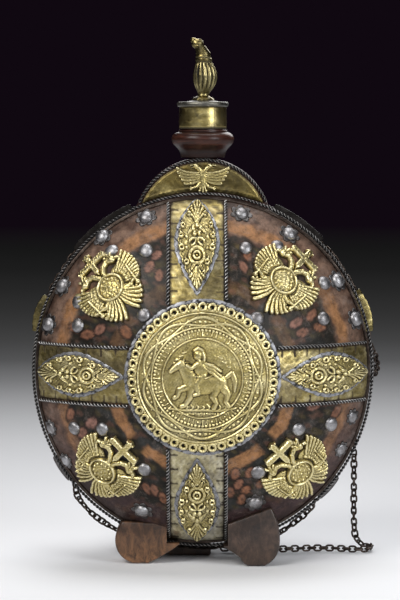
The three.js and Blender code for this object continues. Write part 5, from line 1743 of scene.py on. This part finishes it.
def feet():
    """Blocks cut to the outlines, each seated against the body by taking the cutters away."""
    cutters = foot_cutters()
    for name, curves in FOOT_OUTLINES.items():
        node = f"foot_{name}"
        low, high = node_box(node)
        outline = np.vstack([*(bezier(*curve) for curve in curves), curves[-1][2]])
        front, back = (MID_Y + 5, high[1]) if name == "rear" else (low[1], MID_Y - 5)
        obj = slab(node + "_block", outline, front, back, 1.6, FOOT_WOODS[name], node)
        for room in cutters:
            cut = obj.modifiers.new("seat", "BOOLEAN")
            cut.operation = "DIFFERENCE"
            cut.solver = "MANIFOLD"
            cut.object = room
        mesh = bake_modifiers(obj)
        mesh.shade_smooth()
        mesh.set_sharp_from_angle(angle=math.radians(32))
    for room in cutters:
        bpy.data.objects.remove(room)


feet()


# Chain holders on the rim

SADDLE_START = 24.7
STRAP_SHEET = 1.0
STRAP_FLANGE = 3.5


def strap(name, start, end, rise, material, slot, embossed=False):
    """A strap bowed over the chain, with feet on the rim; the brass ones carry raised ribs."""
    foot, side = RIM_RADIUS + FIT, CHAIN_RADIUS + FIT
    inner = foot + 2 * CHAIN_RADIUS + 0.9
    top, outside, plate = inner + rise, side + STRAP_SHEET, foot + STRAP_SHEET
    under = [(foot, side), (inner - 0.6, side), (inner, side - 0.6)]
    over = [
        (foot, outside + STRAP_FLANGE), (foot + 0.7, outside + STRAP_FLANGE), (plate, outside + 3.0),
        (plate + 0.3, outside + 0.2), (top - 1.2, outside), (top - 0.35, outside - 0.4),
        (top, outside - 1.2),
    ]
    section = [*under, *((radius, -depth) for radius, depth in under[::-1] + over), (top, 0.0), *over[::-1]]
    steps = max(10, int((end - start) * 2))
    points = []
    for i, turn in enumerate(np.radians(np.linspace(start, end, steps + 1))):
        taper = max(0.1, math.sin(math.pi * i / steps) ** (0.7 if embossed else 0.4))
        for radius, depth in section:
            lifted = inner + (radius - inner) * taper if radius > inner else radius
            if embossed and radius > inner + 0.5:
                lifted += 0.45 * abs(math.sin(i * 0.75))
            x, z = polar(lifted, turn)
            points.append((x, MID_Y + depth, RIM_Z + RIM_OVAL * z))
    points = np.array(points)
    faces = [face[::-1] for face in grid_faces(steps + 1, len(section))]
    faces = capped(faces, len(points), len(section), flip=True)
    level = np.hypot(points[:, 0], (points[:, 2] - RIM_Z) / RIM_OVAL)
    piece(name + "_strap", points, faces, material, slot, nodes=[name],
          hollow=0.7 * smooth_step(foot + 1.6, foot + 0.4, level))


strap("saddle_upper_left", 90 + SADDLE_START, 138, 1.0, BLACK_IRON, "iron")
strap("saddle_upper_right", 46, 90 - SADDLE_START, 1.0, BLACK_IRON, "iron")
strap("lug_left", 156, 168, 2.4, DARK_BRASS, "brass", embossed=True)
strap("lug_right", 12, 26, 2.4, DARK_BRASS, "brass", embossed=True)
strap("saddle_lower_left", 210, 219, 1.0, WASHER, "tin")
strap("saddle_lower_right", 313, 322, 1.0, WASHER, "tin")


def tail_staple():
    """A bent wire loop in the side of the rear foot, which holds the chain's end."""
    low, high = node_box("tail_staple")
    wire, sides = 1.0, 14
    middle, half = (low[1] + high[1]) / 2, (high[1] - low[1]) / 2 - wire
    height = (low[2] + high[2]) / 2
    reach = high[0] - low[0] - wire
    bends = ((-3, -1), (0.5, -1), (0.6 * reach, -0.9), (reach, 0), (0.6 * reach, 0.9), (0.5, 1), (-3, 1))
    line = catmull([(low[0] + out, middle + side * half, height) for out, side in bends], 0.5)
    first, second = frames(line, (0, 0, 1))[1:]
    points, faces = tube_part(line, first, second, wire, sides)
    piece("tail_staple_wire", points, faces, IRON, "iron", nodes=["tail_staple"])


tail_staple()


# Floor, light and background

BACKGROUND = (0.0052, 0.0027, 0.0056)
FLOOR_GAP = 0.4
# Radius of the floor, and the distance over which its tones run, in metres
FLOOR_RADIUS = 30.0
FLOOR_REACH = 6.0
# Painted light on the floor: its brightness by share of that distance, falling off away from the flask
FLOOR_PAINTED_FALLOFF = (
    (0.024, 0.81), (0.074, 0.62), (0.121, 0.5), (0.15, 0.41), (0.183, 0.305), (0.221, 0.18), (0.266, 0.075),
    (0.32, 0.02), (0.42, 0.0),
)
# Painted glow that carries the floor over into the backdrop, by the same share
FLOOR_PAINTED_GLOW = (
    (0.2, 0.0), (0.25, 0.016), (0.32, 0.039), (0.4, 0.031), (0.5, 0.02), (0.614, 0.0122), (0.755, 0.0085),
    (1.0, BACKGROUND),
)


def floor():
    mesh = bpy.data.meshes.new("floor")
    shape = bmesh.new()
    bmesh.ops.create_circle(shape, cap_ends=True, segments=96, radius=FLOOR_RADIUS)
    shape.to_mesh(mesh)
    shape.free()
    obj = add_object("floor", mesh)
    obj.location.z = -FLOOR_GAP * MM
    n = Nodes("floor")
    reach = n.tree.nodes.new("ShaderNodeVectorMath")
    reach.operation = "LENGTH"
    n.tree.links.new(n.place, reach.inputs[0])
    distance = n.maths("DIVIDE", reach.outputs["Value"], FLOOR_REACH, True)
    # Painted light: the floor is bright by the flask and darker further off, with a painted glow beyond
    tone = n.mix(1.0, n.ramp(distance, *FLOOR_PAINTED_FALLOFF), (0.99, 1.0, 1.03), "MULTIPLY")
    painted_glow = n.ramp(distance, *FLOOR_PAINTED_GLOW)
    n.link(painted_glow, n.shader.inputs["Emission Color"])
    normal = n.bump(n.noise(180, 3, 0.6), 0.04, 0.1)
    mesh.materials.append(n.finish(tone, 0.75, 0.0, normal, Emission_Strength=1.0, Specular_IOR_Level=0.0))


def lamp(name, place, aim, size, watts, colour=(1, 1, 1)):
    data = bpy.data.lights.new(name, "AREA")
    data.shape = "RECTANGLE"
    data.size, data.size_y = size
    data.energy = watts
    data.color = colour
    obj = add_object(name, data)
    obj.location = Vector(place)
    obj.rotation_euler = (Vector(aim) - Vector(place)).to_track_quat("-Z", "Y").to_euler()


def world():
    shade = bpy.data.worlds.new("studio")
    shade.use_nodes = True
    sky = shade.node_tree.nodes["Background"]
    sky.inputs["Color"].default_value = (*BACKGROUND, 1)
    sky.inputs["Strength"].default_value = 1.0
    bpy.context.scene.world = shade


floor()
world()
lamp("key", (-1.3, -1.5, 1.7), (0, 0, 0.15), (1.2, 1.2), 40, (1.0, 0.985, 0.96))
lamp("fill", (1.6, -1.6, 0.9), (0, 0, 0.15), (1.0, 1.4), 30, (0.96, 0.98, 1.0))
lamp("top", (0.1, 0.3, 1.9), (0, 0, 0.2), (1.4, 1.0), 22)
lamp("front", (0.0, -2.6, 1.1), (0, 0, 0.16), (2.2, 1.0), 9)
lamp("back", (0.4, 1.8, 1.2), (0, 0, 0.2), (1.6, 1.0), 16)
